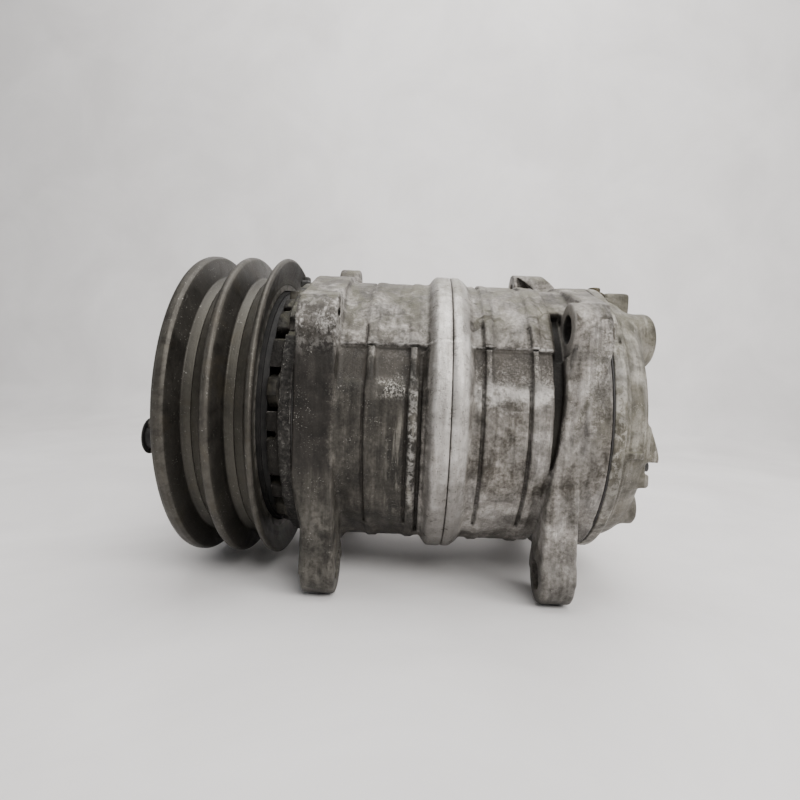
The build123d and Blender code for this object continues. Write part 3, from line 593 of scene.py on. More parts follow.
        # rubbed bright patches on the upper skin
        rubt = mul(band(Z, 0.0262, 0.052, 0.004), M.step(M.noise(240, 6, 0.72, 0.5), 0.47, 0.57))
        col = M.mix(mul(rubt, 0.30), col, (0.47, 0.45, 0.42))
        grime = mul(M.step(zz, 0.024, 0.030), M.step(M.noise(95, 5, 0.65, 1.4), 0.45, 0.56), inv(M.step(X, X_(-13.0), X_(-10.5))))
        col = M.mix(mul(grime, 0.74), col, (0.068, 0.062, 0.054))
    elif kind == "rear":
        # painted shade: the skin is painted darker towards the bottom; the streaky patches mixed in are oily dirt
        dirt_film_and_low_shade = M.math("MAXIMUM", mul(inv(M.step(zz, -0.056, -0.030)), 0.60), mul(M.step(streak, 0.50, 0.60), M.step(big, 0.42, 0.56), 0.50))
        col = M.mix(dirt_film_and_low_shade, col, dark)
        near = mul(M.step(nearY, 0.035, 0.043), band(X, X_(8.2), X_(38.4), 0.0006), M.step(rad, 0.0545, 0.0555))
        # dark speckle in the band under the mould joint, denser towards its top
        speckle_below_joint = M.math("MULTIPLY", band(zz, 0.0150, 0.0285, 0.0030), M.step(M.math("ADD", M.noise(1300, 4, 0.8), M.lin(Z, 0.012, 0.028, -0.07, 0.10)), 0.47, 0.56))
        col = M.mix(mul(near, speckle_below_joint, 0.86), col, (0.040, 0.036, 0.031))
        # painted highlight: a bright, broken band along the upper shoulder of the panel below the pocket, where the
        # light catches it
        shoulder_highlight = mul(near, band(zz, 0.0088, 0.0150, 0.0030), M.step(M.noise(300, 5, 0.7, 0.4), 0.36, 0.52))
        col = M.mix(mul(shoulder_highlight, 0.60), col, (0.56, 0.54, 0.51))
        # painted shade: the band under that highlight is painted a little darker
        below = mul(near, band(zz, 0.0010, 0.0075, 0.0030))
        col = M.mix(mul(below, 0.32), col, (0.090, 0.082, 0.072))
        # crazed lines on the skin above the mould joint
        vec = M.n("ShaderNodeVectorMath", operation="ADD")
        M.link(M.pos, vec.inputs[0])
        off = M.n("ShaderNodeTexNoise"); M.link(M.pos, off.inputs["Vector"]); off.inputs["Scale"].default_value = 140
        sc = M.n("ShaderNodeVectorMath", operation="SCALE"); M.link(off.outputs["Color"], sc.inputs[0]); sc.inputs["Scale"].default_value = 0.009
        M.link(sc.outputs[0], vec.inputs[1])
        line = inv(M.step(M.voro(62, "DISTANCE_TO_EDGE", vec=vec.outputs[0]), 0.012, 0.050))
        gate = M.step(M.noise(75, 3, 0.6), 0.46, 0.56)
        col = M.mix(mul(line, gate, band(Z, 0.0300, 0.0600, 0.002), 0.85), col, (0.045, 0.038, 0.030))
        # black dust packed behind the curved edge of the ear frame, and beside the upper ear, and painted shade in the
        # recess in front of the ear face
        slant = M.math("SUBTRACT", X, M.math("MULTIPLY", Z, 0.33))
        spk = M.math("MAXIMUM", M.step(M.noise(1250, 4, 0.8), 0.46, 0.56), M.step(mid, 0.50, 0.58))
        tri = mul(M.math("MAXIMUM", band(slant, X_(44.6), X_(47.0), 0.0012), mul(band(X, X_(50.5), X_(57.4), 0.0012), 0.8)), band(zz, -0.004, 0.031, 0.005), spk)
        col = M.mix(mul(tri, 0.80), col, (0.055, 0.051, 0.036))
        spot = mul(band(X, X_(53.0), X_(59.5), 0.002), band(Z, 0.026, 0.046, 0.004), M.step(M.noise(900, 5, 0.8, 0.3), 0.46, 0.56), M.step(mid, 0.44, 0.54))
        col = M.mix(mul(spot, 0.75), col, (0.055, 0.050, 0.038))
        # painted shade in the recess between the end of the skin and the ear face
        shade = mul(band(X, X_(36.0), X_(41.8), 0.0004), band(rad, 0.054, 0.0575, 0.0006), band(Z, 0.024, 0.045, 0.003), M.lin(fine, 0.35, 0.6, 0.35, 0.8))
        col = M.mix(shade, col, (0.040, 0.036, 0.028))
    elif kind == "rhead":
        dirt_film_and_low_shade = mul(M.step(M.noise(62, 5, 0.65, 0.6), 0.48, 0.62), 0.60)
        col = M.mix(dirt_film_and_low_shade, col, (0.085, 0.077, 0.058))
        smear = mul(M.step(streak, 0.50, 0.62), 0.45)
        col = M.mix(smear, col, (0.30, 0.285, 0.255))
        blkm = mul(M.step(Z, 0.0480, 0.0500), M.step(X, X_(71.5), X_(73.0)))
        col = M.mix(mul(blkm, 0.62), col, (0.115, 0.107, 0.078))
        prt = mul(band(Z, 0.022, 0.047, 0.001), M.step(X, X_(70.5), X_(72.5)), M.step(mid, 0.42, 0.58))
        col = M.mix(mul(prt, 0.45), col, (0.135, 0.127, 0.098))
        lowr = mul(inv(M.step(zz, -0.034, -0.004)), 0.45)
        col = M.mix(lowr, col, (0.095, 0.086, 0.074))
        # painted highlight: the flange rim of the head is painted lighter in broken patches
        ring = inv(M.step(X, X_(63.4), X_(64.6)))
        col = M.mix(mul(ring, M.step(M.noise(320, 5, 0.7, 0.3), 0.46, 0.58), 0.50), col, (0.40, 0.385, 0.35))
    else:
        dirt_film_and_low_shade = 0.0
        ring = mul(M.step(X, X_(-64.6), X_(-63.8)), M.step(rad, 0.054, 0.0555))
        rough_pat = M.ramp(M.noise(520, 5, 0.75, 0.3), [(0.40, (0.014, 0.013, 0.012)), (0.54, (0.036, 0.034, 0.031)), (0.68, (0.13, 0.125, 0.115))])
        col = M.mix(ring, col, rough_pat)
        # painted shade: the head inside the pulley is painted near black
        inside = inv(M.step(X, X_(-64.9), X_(-64.4)))
        col = M.mix(mul(inside, 0.80), col, (0.011, 0.010, 0.009))
    # joint band: cleaner, rubbed metal with faint upright scratches
    clean = None
    if kind in ("front", "rear"):
        clean = mul(M.step(rad, 0.0585, 0.0600), band(X, X_(-8.8), X_(7.6), 0.0008))
        btone = M.ramp(M.math("ADD", M.math("MULTIPLY", streak, 0.5), M.math("MULTIPLY", mid, 0.5)),
                       [(0.36, (0.30, 0.285, 0.262)), (0.48, (0.46, 0.44, 0.415)), (0.58, (0.60, 0.58, 0.555)), (0.7, (0.70, 0.68, 0.66))])
        # painted shade: the left part of the joint band, turned away from the light, is painted darker and less
        # metallic
        band_left_shade = inv(M.step(wobble(X, mid, 0.003), X_(-8.4), X_(-4.4)))
        btone = M.mix(mul(band_left_shade, 0.78), btone, (0.130, 0.121, 0.109))
        # painted shade: the joint band is painted darker towards the bottom, and less metallic there
        band_low_shade = inv(M.step(zz, -0.046, 0.002))
        btone = M.mix(mul(band_low_shade, 0.80), btone, (0.100, 0.092, 0.084))
        col = M.mix(mul(clean, 0.82), col, btone)
    if kind in ("front", "rear"):
        ang = M.math("SUBTRACT", Z, M.math("MULTIPLY", nearY, 0.5612))
        # painted highlight: a thin bright line along the edge of the upper skin, just above the mould joint
        joint = mul(band(ang, 0.0000, 0.0011, 0.00035), band(X, X_(-42.2), X_(37.8), 0.0005), M.step(nearY, 0.035, 0.045), M.step(M.noise(380, 4, 0.7, 0.4), 0.42, 0.54), M.step(rad, 0.0560, 0.0566))
        col = M.mix(mul(joint, 0.75), col, (0.62, 0.60, 0.57))
        # painted shade: a thin dark shadow line painted just under the mould joint step
        under = mul(band(ang, -0.0012, -0.0001, 0.00025), band(X, X_(-42.2), X_(37.8), 0.0005), M.step(nearY, 0.035, 0.045), inv(band(X, X_(-9.5), X_(8.5), 0.0005)))
        col = M.mix(mul(under, 0.90), col, (0.020, 0.018, 0.015))
    # black dust caught in the sunk pockets
    if kind in ("front", "rear"):
        pocket = mul(inv(M.step(rad, 0.0562, 0.0570)), M.step(rad, 0.0540, 0.0548))
        pk = mul(pocket, M.step(M.noise(1150, 4, 0.8), 0.44, 0.56))
        col = M.mix(mul(pk, 0.80), col, (0.045, 0.040, 0.034))
        col = M.mix(mul(pocket, 0.42), col, (0.060, 0.053, 0.045))
    shade_n = M.noise(58, 5, 0.62, 1.3)
    amount = mul(M.lin(shade_n, 0.38, 0.62, 0.60, 1.32), M.lin(streak, 0.38, 0.62, 0.93, 1.07))
    if clean is not None:
        amount = M.math("ADD", amount, mul(clean, M.math("SUBTRACT", 1.0, amount), 0.75))
    sc2 = M.n("ShaderNodeVectorMath", operation="SCALE")
    M.link(col, sc2.inputs[0])
    M.link(amount, sc2.inputs["Scale"])
    col = sc2.outputs[0]
    # olive-brown oil stain on the upper surfaces
    nz = M.normal_z()[2]
    up = M.step(nz, 0.45, 0.90)
    stain = mul(M.step(M.noise(75, 4, 0.62, 0.8), 0.40, 0.58), up, 0.62)
    col = M.mix(stain, col, (0.128, 0.122, 0.084))
    # hollows dark: oily dirt in the concave creases plus painted shade from ambient occlusion; edges bright
    pt = M.point()
    cav = inv(M.step(pt, 0.405, 0.493))
    ao = M.n("ShaderNodeAmbientOcclusion"); ao.samples = 6
    ao.inputs["Distance"].default_value = 0.0060
    occ = M.lin(wobble(ao.outputs["AO"], fine, 0.25), 0.42, 0.88, 1.0, 0.0)
    hollow = mul(M.math("MAXIMUM", mul(cav, 0.9), mul(occ, 0.66)), 0.95)
    if kind == "rear":
        face = mul(band(X, X_(42.5), X_(43.8), 0.0003), band(Z, 0.0265, 0.0470, 0.0005), M.step(nearY, 0.035, 0.037))
        hollow = mul(hollow, inv(mul(face, 0.85)))
        col = M.mix(mul(face, 0.60), col, (0.26, 0.245, 0.225))
    col = M.mix(hollow, col, (0.018, 0.016, 0.013))
    edge = mul(M.step(pt, 0.530, 0.585), M.step(M.noise(420, 4, 0.7), 0.38, 0.58))
    col = M.mix(mul(edge, 0.42 if kind in ("front", "fhead") else 0.5), col, (0.46, 0.44, 0.41))
    # salt and light dust flecks, pits
    fleck = mul(M.step(M.noise(1900, 3, 0.6), 0.63, 0.70), M.step(M.noise(110, 3, 0.6), 0.48, 0.62))
    col = M.mix(mul(fleck, 0.60), col, (0.50, 0.48, 0.44))
    if kind == "rear":
        # painted shade: the groove between the skin end and the ear frame is painted near black
        gap = mul(inv(M.step(rad, 0.0543, 0.0556)), band(X, X_(37.6), X_(42.3), 0.0004))
        col = M.mix(mul(gap, 0.93), col, M.mix(M.step(zz, -0.010, 0.012), (0.040, 0.038, 0.030), (0.010, 0.009, 0.008)))
        # painted shade: the inside of the upper ear's bolt hole is painted near black
        dy = M.math("ADD", Y, 0.047)
        dz = M.math("SUBTRACT", Z, 0.0365)
        hole_r = M.math("SQRT", M.math("ADD", M.math("MULTIPLY", dy, dy), M.math("MULTIPLY", dz, dz)))
        col = M.mix(mul(inv(M.step(hole_r, 0.00525, 0.00585)), M.step(X, X_(42.2), X_(42.5))), col, (0.012, 0.011, 0.010))
    pit = mul(M.step(M.noise(1700, 2, 0.5), 0.62, 0.70), 0.65)
    col = M.mix(pit, col, (0.035, 0.031, 0.026))
    rough = M.math("ADD", M.lin(mid, 0.3, 0.7, 0.40, 0.62), M.math("MULTIPLY", M.math("SUBTRACT", fine, 0.5), 0.25))
    if clean is not None:
        rough = M.math("SUBTRACT", rough, mul(clean, 0.17))
    metal = 0.20
    if dirt_film_and_low_shade is not None and kind != "fhead":
        metal = mul(inv(mul(dirt_film_and_low_shade, 0.9)), 0.30)
    if clean is not None:
        metal = M.math("ADD", metal, mul(clean, inv(mul(M.math("MAXIMUM", band_low_shade, band_left_shade), 0.8)), 0.35))
    M.bump(mid, 0.0006, 0.5)
    M.bump(fine, 0.00040, 0.65)
    M.bump(grit, 0.00014, 0.6)
    return M.done(col, rough, metal, **{"Specular IOR Level": 0.22})


def steel_mat(name, dark=(0.018, 0.0165, 0.014), lightc=(0.078, 0.072, 0.062), edge=(0.30, 0.285, 0.26), metal=0.62, r0=0.36, r1=0.60, rings=True, rust=0.25, deep=True):
    """Pressed and turned steel: circular brushing, dark oxide, rims rubbed and painted with highlights, groove flanks
    and floors painted with shade and light, specks of grit.
    """
    M = Mat(name)
    X, Y, Z = M.xyz()
    rad = M.math("SQRT", M.math("ADD", M.math("MULTIPLY", Y, Y), M.math("MULTIPLY", Z, Z)))
    cmb = M.n("ShaderNodeCombineXYZ"); M.link(M.math("MULTIPLY", X, 1.0), cmb.inputs[0]); M.link(rad, cmb.inputs[1])
    lines = M.noise(1500, 3, 0.6, 0.0, vec=cmb.outputs[0])
    bands = M.noise(300, 4, 0.6, 0.0, vec=cmb.outputs[0])
    mid = M.noise(95, 6, 0.66, 0.5)
    fine = M.noise(900, 4, 0.72)
    tone = M.math("ADD", M.math("ADD", M.math("MULTIPLY", mid, 0.45), M.math("MULTIPLY", bands, 0.33)), M.math("MULTIPLY", fine, 0.22)) if rings else mid
    col = M.ramp(tone, [(0.38, dark), (0.50, tuple(0.5 * (a + b) for a, b in zip(dark, lightc))), (0.64, lightc)])
    if deep:
        # painted light and shade: the rims are painted pale, partly rubbed and partly highlight, the groove flanks are
        # painted black as shade, and the groove floors are painted lighter where light falls
        rim = M.step(rad, 0.0660, 0.0669)
        col = M.mix(M.math("MULTIPLY", rim, M.lin(M.noise(210, 5, 0.7, 0.3), 0.42, 0.62, 0.05, 0.55)), col, (0.098, 0.091, 0.078))
        flank = M.math("MULTIPLY", M.step(rad, 0.0582, 0.0588), M.math("SUBTRACT", 1.0, M.step(rad, 0.0650, 0.0664)))
        col = M.mix(M.math("MULTIPLY", flank, 0.50), col, (0.018, 0.0165, 0.0145))
        land = M.math("SUBTRACT", 1.0, M.step(rad, 0.0578, 0.0590))
        col = M.mix(M.math("MULTIPLY", land, 0.28), col, (0.105, 0.100, 0.080))
    if rust:
        rs = M.math("MULTIPLY", M.step(M.noise(60, 6, 0.7, 0.5), 0.52, 0.66), rust)
        col = M.mix(rs, col, (0.060, 0.048, 0.028))
    pt = M.point()
    ed = M.math("MULTIPLY", M.step(pt, 0.515, 0.57), M.step(M.noise(260, 5, 0.7), 0.40, 0.60))
    col = M.mix(M.math("MULTIPLY", ed, 0.55), col, edge)
    fleck = M.math("MULTIPLY", M.step(M.noise(1300, 3, 0.6), 0.63, 0.70), M.step(M.noise(90, 3, 0.6), 0.46, 0.60))
    col = M.mix(M.math("MULTIPLY", fleck, 0.7), col, (0.36, 0.35, 0.32))
    scr = M.math("MULTIPLY", M.step(M.noise(420, 3, 0.6, 0.0, vec=M.scaled((6.0, 1.0, 0.5))), 0.66, 0.72), M.step(M.noise(70, 2, 0.5), 0.50, 0.60))
    col = M.mix(M.math("MULTIPLY", scr, 0.5), col, (0.26, 0.25, 0.23))
    rough = M.math("ADD", M.lin(mid, 0.3, 0.7, r0, r1), M.math("MULTIPLY", M.math("SUBTRACT", fine, 0.5), 0.18))
    if rings:
        M.bump(lines, 0.00008, 0.6)
    M.bump(mid, 0.0004, 0.4)
    M.bump(fine, 0.00014, 0.55)
    return M.done(col, rough, metal, **{"Specular IOR Level": 0.35})


def plain_mat(name, c0, c1, r0, r1, metal=0.0, scale=200, bumpd=0.0001, **kw):
    M = Mat(name)
    mid = M.noise(scale, 5, 0.6, 0.3)
    fine = M.noise(scale * 7, 4, 0.7)
    col = M.ramp(mid, [(0.35, c0), (0.65, c1)])
    dirt = M.step(M.noise(scale * 0.4, 5, 0.65, 0.5), 0.56, 0.72)
    col = M.mix(M.math("MULTIPLY", dirt, 0.35), col, tuple(v * 0.35 for v in c0))
    M.bump(fine, bumpd, 0.5)
    return M.done(col, M.lin(fine, 0.3, 0.7, r0, r1), metal, **kw)


MAT = {
    "cast_front": casting_mat("cast_front", "front"),
    "cast_rear": casting_mat("cast_rear", "rear"),
    "rear_head": casting_mat("rear_head_metal", "rhead"),
    "front_head": casting_mat("front_head_metal", "fhead"),
    "pulley": steel_mat("pulley_steel"),
    "clutch": steel_mat("clutch_steel", dark=(0.030, 0.025, 0.020), lightc=(0.13, 0.12, 0.105), rust=0.7, deep=False),
    "gasket": plain_mat("gasket", (0.012, 0.012, 0.011), (0.03, 0.028, 0.026), 0.55, 0.8),
    "rubber": plain_mat("rubber", (0.010, 0.010, 0.010), (0.032, 0.030, 0.028), 0.5, 0.8, scale=300),
    "machined": plain_mat("machined_steel", (0.085, 0.080, 0.072), (0.27, 0.26, 0.245), 0.34, 0.56, 0.9),
    "spring": plain_mat("spring_steel", (0.075, 0.072, 0.070), (0.21, 0.205, 0.20), 0.36, 0.55, 0.9),
    "zinc": plain_mat("zinc_steel", (0.014, 0.013, 0.011), (0.085, 0.078, 0.062), 0.40, 0.65, 0.6),
    "bearing": plain_mat("bearing_steel", (0.50, 0.50, 0.50), (0.66, 0.66, 0.66), 0.10, 0.22, 1.0),
    "brass": plain_mat("brass", (0.022, 0.019, 0.014), (0.105, 0.088, 0.055), 0.42, 0.65, 0.7),
    "plastic": plain_mat("black_plastic", (0.018, 0.018, 0.018), (0.045, 0.043, 0.040), 0.42, 0.62),
    "copper": plain_mat("copper_wire", (0.40, 0.16, 0.06), (0.62, 0.28, 0.12), 0.25, 0.4, 0.9),
    "coil": plain_mat("coil_steel", (0.006, 0.006, 0.006), (0.018, 0.017, 0.016), 0.5, 0.7, 0.4),
    "piston": plain_mat("piston_alloy", (0.52, 0.52, 0.50), (0.68, 0.68, 0.66), 0.2, 0.35, 1.0),
    "ptfe": plain_mat("ring_plastic", (0.16, 0.14, 0.11), (0.26, 0.23, 0.19), 0.4, 0.6),
    "sinter": plain_mat("sintered_steel", (0.16, 0.16, 0.16), (0.27, 0.27, 0.27), 0.4, 0.6, 0.8),
}
SLOT = {"cast_front": "cast_front", "cast_rear": "cast_rear", "head_metal": "front_head", "rear_head_metal": "rear_head", "gasket": "gasket", "rubber": "rubber",
        "machined_steel": "machined", "spring_steel": "spring", "zinc_steel": "zinc", "bearing_steel": "bearing", "brass": "brass", "black_plastic": "plastic",
        "copper_wire": "copper", "coil_steel": "coil", "pulley_steel": "pulley", "clutch_steel": "clutch", "piston_alloy": "piston", "ring_plastic": "ptfe", "sintered_steel": "sinter"}
for sp in frame["record"]["subparts"]:
    ob = N[sp["node"]]
    ob.data.materials.clear()
    ob.data.materials.append(MAT[SLOT[sp["material_slot"]]])

# ------------------------------------------------------------------------------ dimensions shared with the design
L_HALF, R_PANEL, R_BASE, R_BAND, R_FRAME = 58.5, 57.5, 55.2, 61.8, 60.6
EAR_A, EAR_A_R, EAR_B, EAR_C, EAR_D, EAR_R, HOLE = (-47.0, 36.5), 10.2, (-46.0, -59.0), (46.0, 62.0), (46.0, -59.0), 11.0, 5.25
BORES = (-19.0, 101.0, 221.0)
BOLTS = [11.0 + 60 * k for k in range(6)]
H = 0.62


def inner(F, s):
    sl = lambda a, b: F.slab(*sorted((s * a, s * b)))
    F.cut(np.maximum(F.circ(44.0), sl(-2, 21.5)), 0.2)
    F.cut(np.maximum(F.circ(11.5), sl(20, 62)), 0.2)
    for a in BORES:
        F.cut(np.maximum(F.circ(18.05, at(32, a)), sl(-2, 62)), 0.2)
        F.cut(np.maximum(F.circ(7.0, at(36, a + 60)), sl(-2, 62)), 0.2)
    for a in BOLTS:
        F.cut(np.maximum(F.circ(4.15, at(48.5, a)), sl(-2, 62)), 0.1)



def panels(F, x0, x1, lobe):
    """Raised cast skin with the sunk pocket below the mould joint, every third of a turn."""
    for k in range(3):
        o = 120 * k
        # panel below the pocket, with a soft upper shoulder
        f = smax(np.maximum(F.sector(-33 + o, 14.6 + o), F.slab(x0, x1)), F.circ(R_PANEL), 4.2)
        F.add(np.maximum(f, -F.circ(50)), 4.2)
        # skin above the mould joint
        f = np.maximum(np.maximum(F.sector(30.0 + o, 90 + o), F.slab(x0, x1)), F.circ(R_PANEL + 0.1))
        F.add(np.maximum(f, -F.circ(50)), 0.6)
        f = np.maximum(np.maximum(F.sector(4 + o, 31 + o), F.slab(x0, x1)), F.circ(R_BASE + 0.75))
        F.add(np.maximum(f, -F.circ(50)), 1.6)
        f = np.maximum(np.maximum(F.sector(-50 + o, -33 + o), F.slab(x0, x1 - lobe)), F.circ(R_BASE + 1.2))
        F.add(np.maximum(f, -F.circ(50)), 1.4)


def undercut(F, x0, x1):
    """Dark line under the mould joint, through the ribs as well."""
    for ang in (29.3, 149.3, 269.3):
        F.cut(np.maximum(np.maximum(F.sector(ang - 0.30, ang + 0.34), F.slab(x0, x1)), -F.circ(56.2)), 0.30)


def front_half():
    F = Field((-60.5, -62.5, -72), (1.5, 62.5, 75), H)
    F.add(F.turned([(-58.5, 0), (-58.5, R_BASE), (0, R_BASE), (0, 0)]))
    panels(F, -45.5, -9.0, 0)
    for x0, x1 in ((-32.0, -29.1), (-15.8, -13.2)):
        F.add(np.maximum(np.maximum(F.circ(R_PANEL + 0.55), -F.circ(50)), F.slab(x0, x1)), 2.2)
    for x0, x1 in ((-32.0, -29.1), (-15.8, -13.2)):
        F.add(smax(np.maximum(F.circ(R_PANEL + 1.0), -F.circ(50)), np.maximum(F.slab(x0, x1), F.sector(29.9, 40)), 1.6), 0.7)
        F.cut(np.maximum(np.maximum(-F.circ(R_PANEL - 0.7), F.slab(x0 - 1.1, x0 - 0.3)), F.sector(29.9, 39)), 0.7)
    for k in range(3):
        low = F.sector(-48 + 120 * k, 28 + 120 * k)
        F.cut(np.maximum(np.maximum(-F.circ(R_PANEL - 0.75), F.slab(-33.0, -32.2)), low), 0.9)
        F.cut(np.maximum(np.maximum(-F.circ(R_PANEL - 0.9), F.slab(-16.9, -16.0)), low), 0.9)
    F.cut(np.maximum(np.maximum(-F.circ(R_PANEL - 2.2), F.slab(-12.0, -10.9)), F.sector(-60, 27)), 0.5)
    F.add(np.maximum(np.maximum(np.maximum(F.circ(R_PANEL + 0.05), -F.circ(50)), F.slab(-20, -8)), F.sector(29.8, 168)), 1.6)
    undercut(F, -43.0, -11.0)
    F.add(F.turned([(-10.2, 40), (-10.2, 55), (-9.8, 56.6), (-8.8, 58.8), (-7.2, 60.9), (-5.8, R_BAND), (-1.3, R_BAND), (-0.4, R_BAND - 0.35), (0, R_BAND - 0.8), (0, 40)]), 0.5)
    # ear frame
    rim = np.maximum(np.maximum(F.circ(R_FRAME), -F.circ(50)), F.slab(-58.5, -43.5))
    rim = np.maximum(rim, np.maximum(F.ys(-57.2, 80), F.zs(-57.2, 80)))
    F.add(rim, 3.0)
    F.add(smax(F.pxz([(-58.2, 38), (-43.2, 38), (-43.4, 24), (-43.0, -20), (-41.5, -59), (-54.8, -59), (-55.2, -38), (-58.2, -26)]), F.ys(-57.2, -35), 1.6), 1.5)
    F.add(smax(F.pxz([(-57.5, 30), (-43.5, 30), (-41.5, -59), (-54.8, -59)]), F.ys(35, 57.2), 1.6), 1.5)
    F.add(smax(F.pxz([(-57.6, 20), (-44.6, 20), (-45.6, 62), (-45.6, 73), (-56.6, 73), (-57.2, 62)]), np.maximum(F.ys(35.5, 56.5), F.zs(0, 64)), 1.6), 1.5)
    F.add(smax(F.circ(EAR_A_R, EAR_A), F.slab(-58.2, -43.2), 1.8), 1.5)
    F.add(smax(F.circ(EAR_R, EAR_B), F.slab(-54.8, -41.5), 1.8), 1.5)
    F.add(smax(F.circ(EAR_R, EAR_D), F.slab(-54.8, -41.5), 1.8), 1.5)
    F.add(smax(F.circ(EAR_R - 0.6, EAR_C), F.slab(-56.8, -45.6), 1.8), 1.2)
    F.add(np.maximum(F.pyz([(-50.4, 46.1), (-30, 53.3), (0, R_FRAME), (0, 40), (-40, 30)]), F.slab(-58.2, -43.4)), 1.5)
    F.add(np.maximum(F.pyz([(0, R_FRAME), (20, 60), (38, 66), (38, 30), (0, 40)]), F.slab(-57.6, -44.4)), 2.0)
    # short rib beside the upper ear, and cast webs between the frame and the first rib
    for ang in (101, 128, 215, 250):
        F.add(np.maximum(np.maximum(F.sector(ang, ang + 3), F.slab(-44, -33)), np.maximum(F.circ(R_PANEL + 0.9), -F.circ(50))), 1.6)
    for e, x1 in ((EAR_A, -43.6), (EAR_B, -38), (EAR_C, -38), (EAR_D, -38)):
        F.cut(np.maximum(F.circ(HOLE, e), F.slab(-66, x1)), 0.7)
    inner(F, -1)
    F.cut(np.maximum(F.turned([(-0.9, 54.4), (-0.9, 56.2), (1, 56.2), (1, 54.4)]), F.slab(-1, 2)), 0.1)
    F.d = np.maximum(F.d, F.slab(-58.5, -0.0))
    return F


def rear_half():
    F = Field((-1.5, -62.5, -72), (60.5, 62.5, 75), H)
    F.add(F.turned([(0, 0), (0, R_BASE), (58.5, R_BASE), (58.5, 0)]))
    panels(F, 8.5, 37.6, 3.0)
    for x0, x1 in ((12.3, 14.9), (29.8, 32.3)):
        F.add(np.maximum(np.maximum(F.circ(R_PANEL + 0.55), -F.circ(50)), F.slab(x0, x1)), 2.0)
    for x0, x1 in ((12.3, 14.9), (29.8, 32.3)):
        F.add(smax(np.maximum(F.circ(R_PANEL + 1.0), -F.circ(50)), np.maximum(F.slab(x0, x1), F.sector(29.9, 41)), 1.6), 0.7)
        F.cut(np.maximum(np.maximum(-F.circ(R_PANEL - 0.7), F.slab(x0 - 1.1, x0 - 0.3)), F.sector(29.9, 40)), 0.7)
    for k in range(3):
        low = F.sector(-48 + 120 * k, 28 + 120 * k)
        F.cut(np.maximum(np.maximum(-F.circ(R_PANEL - 0.9), F.slab(11.4, 12.2)), low), 0.9)
        F.cut(np.maximum(np.maximum(-F.circ(R_PANEL - 1.0), F.slab(28.8, 29.7)), low), 0.9)
    undercut(F, 9.0, 38.0)
    F.add(F.turned([(0, 40), (0, R_BAND - 0.8), (0.4, R_BAND - 0.35), (1.3, R_BAND), (3.6, R_BAND - 0.2), (6.0, 60.0), (7.8, 57.9), (9.0, 55.0), (9.0, 40)]), 1.0)
    F.add(np.maximum(np.maximum(np.maximum(F.circ(R_PANEL - 0.6), -F.circ(50)), F.slab(33, 47)), F.sector(29.6, 168)), 1.2)
    F.cut(np.maximum(np.maximum(-F.circ(53.2), F.slab(38.0, 42.0)), F.sector(-168, 29.0)), 0.5)
    F.cut(np.maximum(np.maximum(-F.circ(52.6), F.slab(38.9, 43.4)), F.sector(27.0, 50.0)), 0.8)
    fr = np.maximum(np.maximum(F.circ(58.8), -F.circ(50)), F.slab(42.0, 50.5))
    F.add(np.maximum(np.maximum(fr, F.ys(-57.2, 80)), F.sector(-168, 27.0)), 0.8)
    F.add(np.maximum(np.maximum(F.circ(58.3), -F.circ(50)), F.slab(49.5, 58.5)), 1.6)
    F.add(np.maximum(np.maximum(F.sector(46, 135), np.maximum(F.circ(58.3), -F.circ(50))), F.slab(47.5, 58.5)), 1.6)
    F.add(np.maximum(np.maximum(F.sector(150, 318), np.maximum(F.circ(58.8), -F.circ(50))), F.slab(50.0, 58.5)), 1.6)
    F.add(smax(F.pxz([(44.4, 37), (58.4, 37), (58.3, 30), (56.6, 22), (54.5, 16), (52.6, 7), (50.5, -6), (49.4, -22), (49.2, -32), (49.5, -59), (36.3, -59), (36.6, -32), (38.1, -20),
                      (39.8, -8), (41.6, 10), (42.6, 22), (44.4, 30)]), F.ys(-56.5, -35), 1.6), 1.0)
    F.add(np.maximum(F.pxz([(40.5, 30), (55, 30), (50.5, -4), (49.2, -30), (49.5, -59), (36.3, -59), (36.6, -32), (38.1, -20), (39.8, -8)]), F.ys(35, 57.2)), 1.8)
    tw = smax(F.pxz([(36.8, 20), (58.3, 20), (58.3, 65.0), (52.2, 72.4), (36.8, 72.4)]), F.ys(35.5, 56.5), 1.6)
    tw = np.maximum(tw, smin(F.circ(EAR_R - 0.6, EAR_C), np.maximum(F.ys(35.5, 56.5), F.zs(0, 62)), 0.5))
    F.add(tw, 1.0)
    F.cut(np.maximum(F.pxz([(39.0, 70.6), (39.0, 60.4), (50.0, 60.4)]), F.ys(30, 40.6)), 0.8)
    ear = smax(smax(F.circ(EAR_A_R, EAR_A), (42.9 - F.x)[:, None, None], 1.0), (F.x - 58.4)[:, None, None], 5.5)
    F.add(ear, 0.8)
    F.add(smax(F.circ(EAR_R, EAR_B), F.slab(36.3, 49.5), 1.8), 1.5)
    F.add(smax(F.circ(EAR_R, EAR_D), F.slab(36.3, 49.5), 1.8), 1.5)
    F.add(smax(np.maximum(F.pyz([(-50.4, 46.1), (-30, 52.6), (0, 58.2), (0, 40), (-40, 30)]), -1e3), F.slab(47.8, 58.4), 2.0), 1.2)
    F.add(np.maximum(F.pyz([(0, 58.2), (20, 58.6), (37, 63), (37, 30), (0, 40)]), F.slab(47.5, 58.4)), 2.0)
    for ang in (112, 140, 205, 240):
        F.add(np.maximum(np.maximum(F.sector(ang, ang + 3), F.slab(33, 42)), np.maximum(F.circ(R_PANEL + 0.9), -F.circ(50))), 1.6)
    for e, x0 in ((EAR_A, 41.0), (EAR_B, 30), (EAR_C, 30), (EAR_D, 30)):
        F.cut(np.maximum(F.circ(HOLE, e), F.slab(x0, 70)), 0.7)
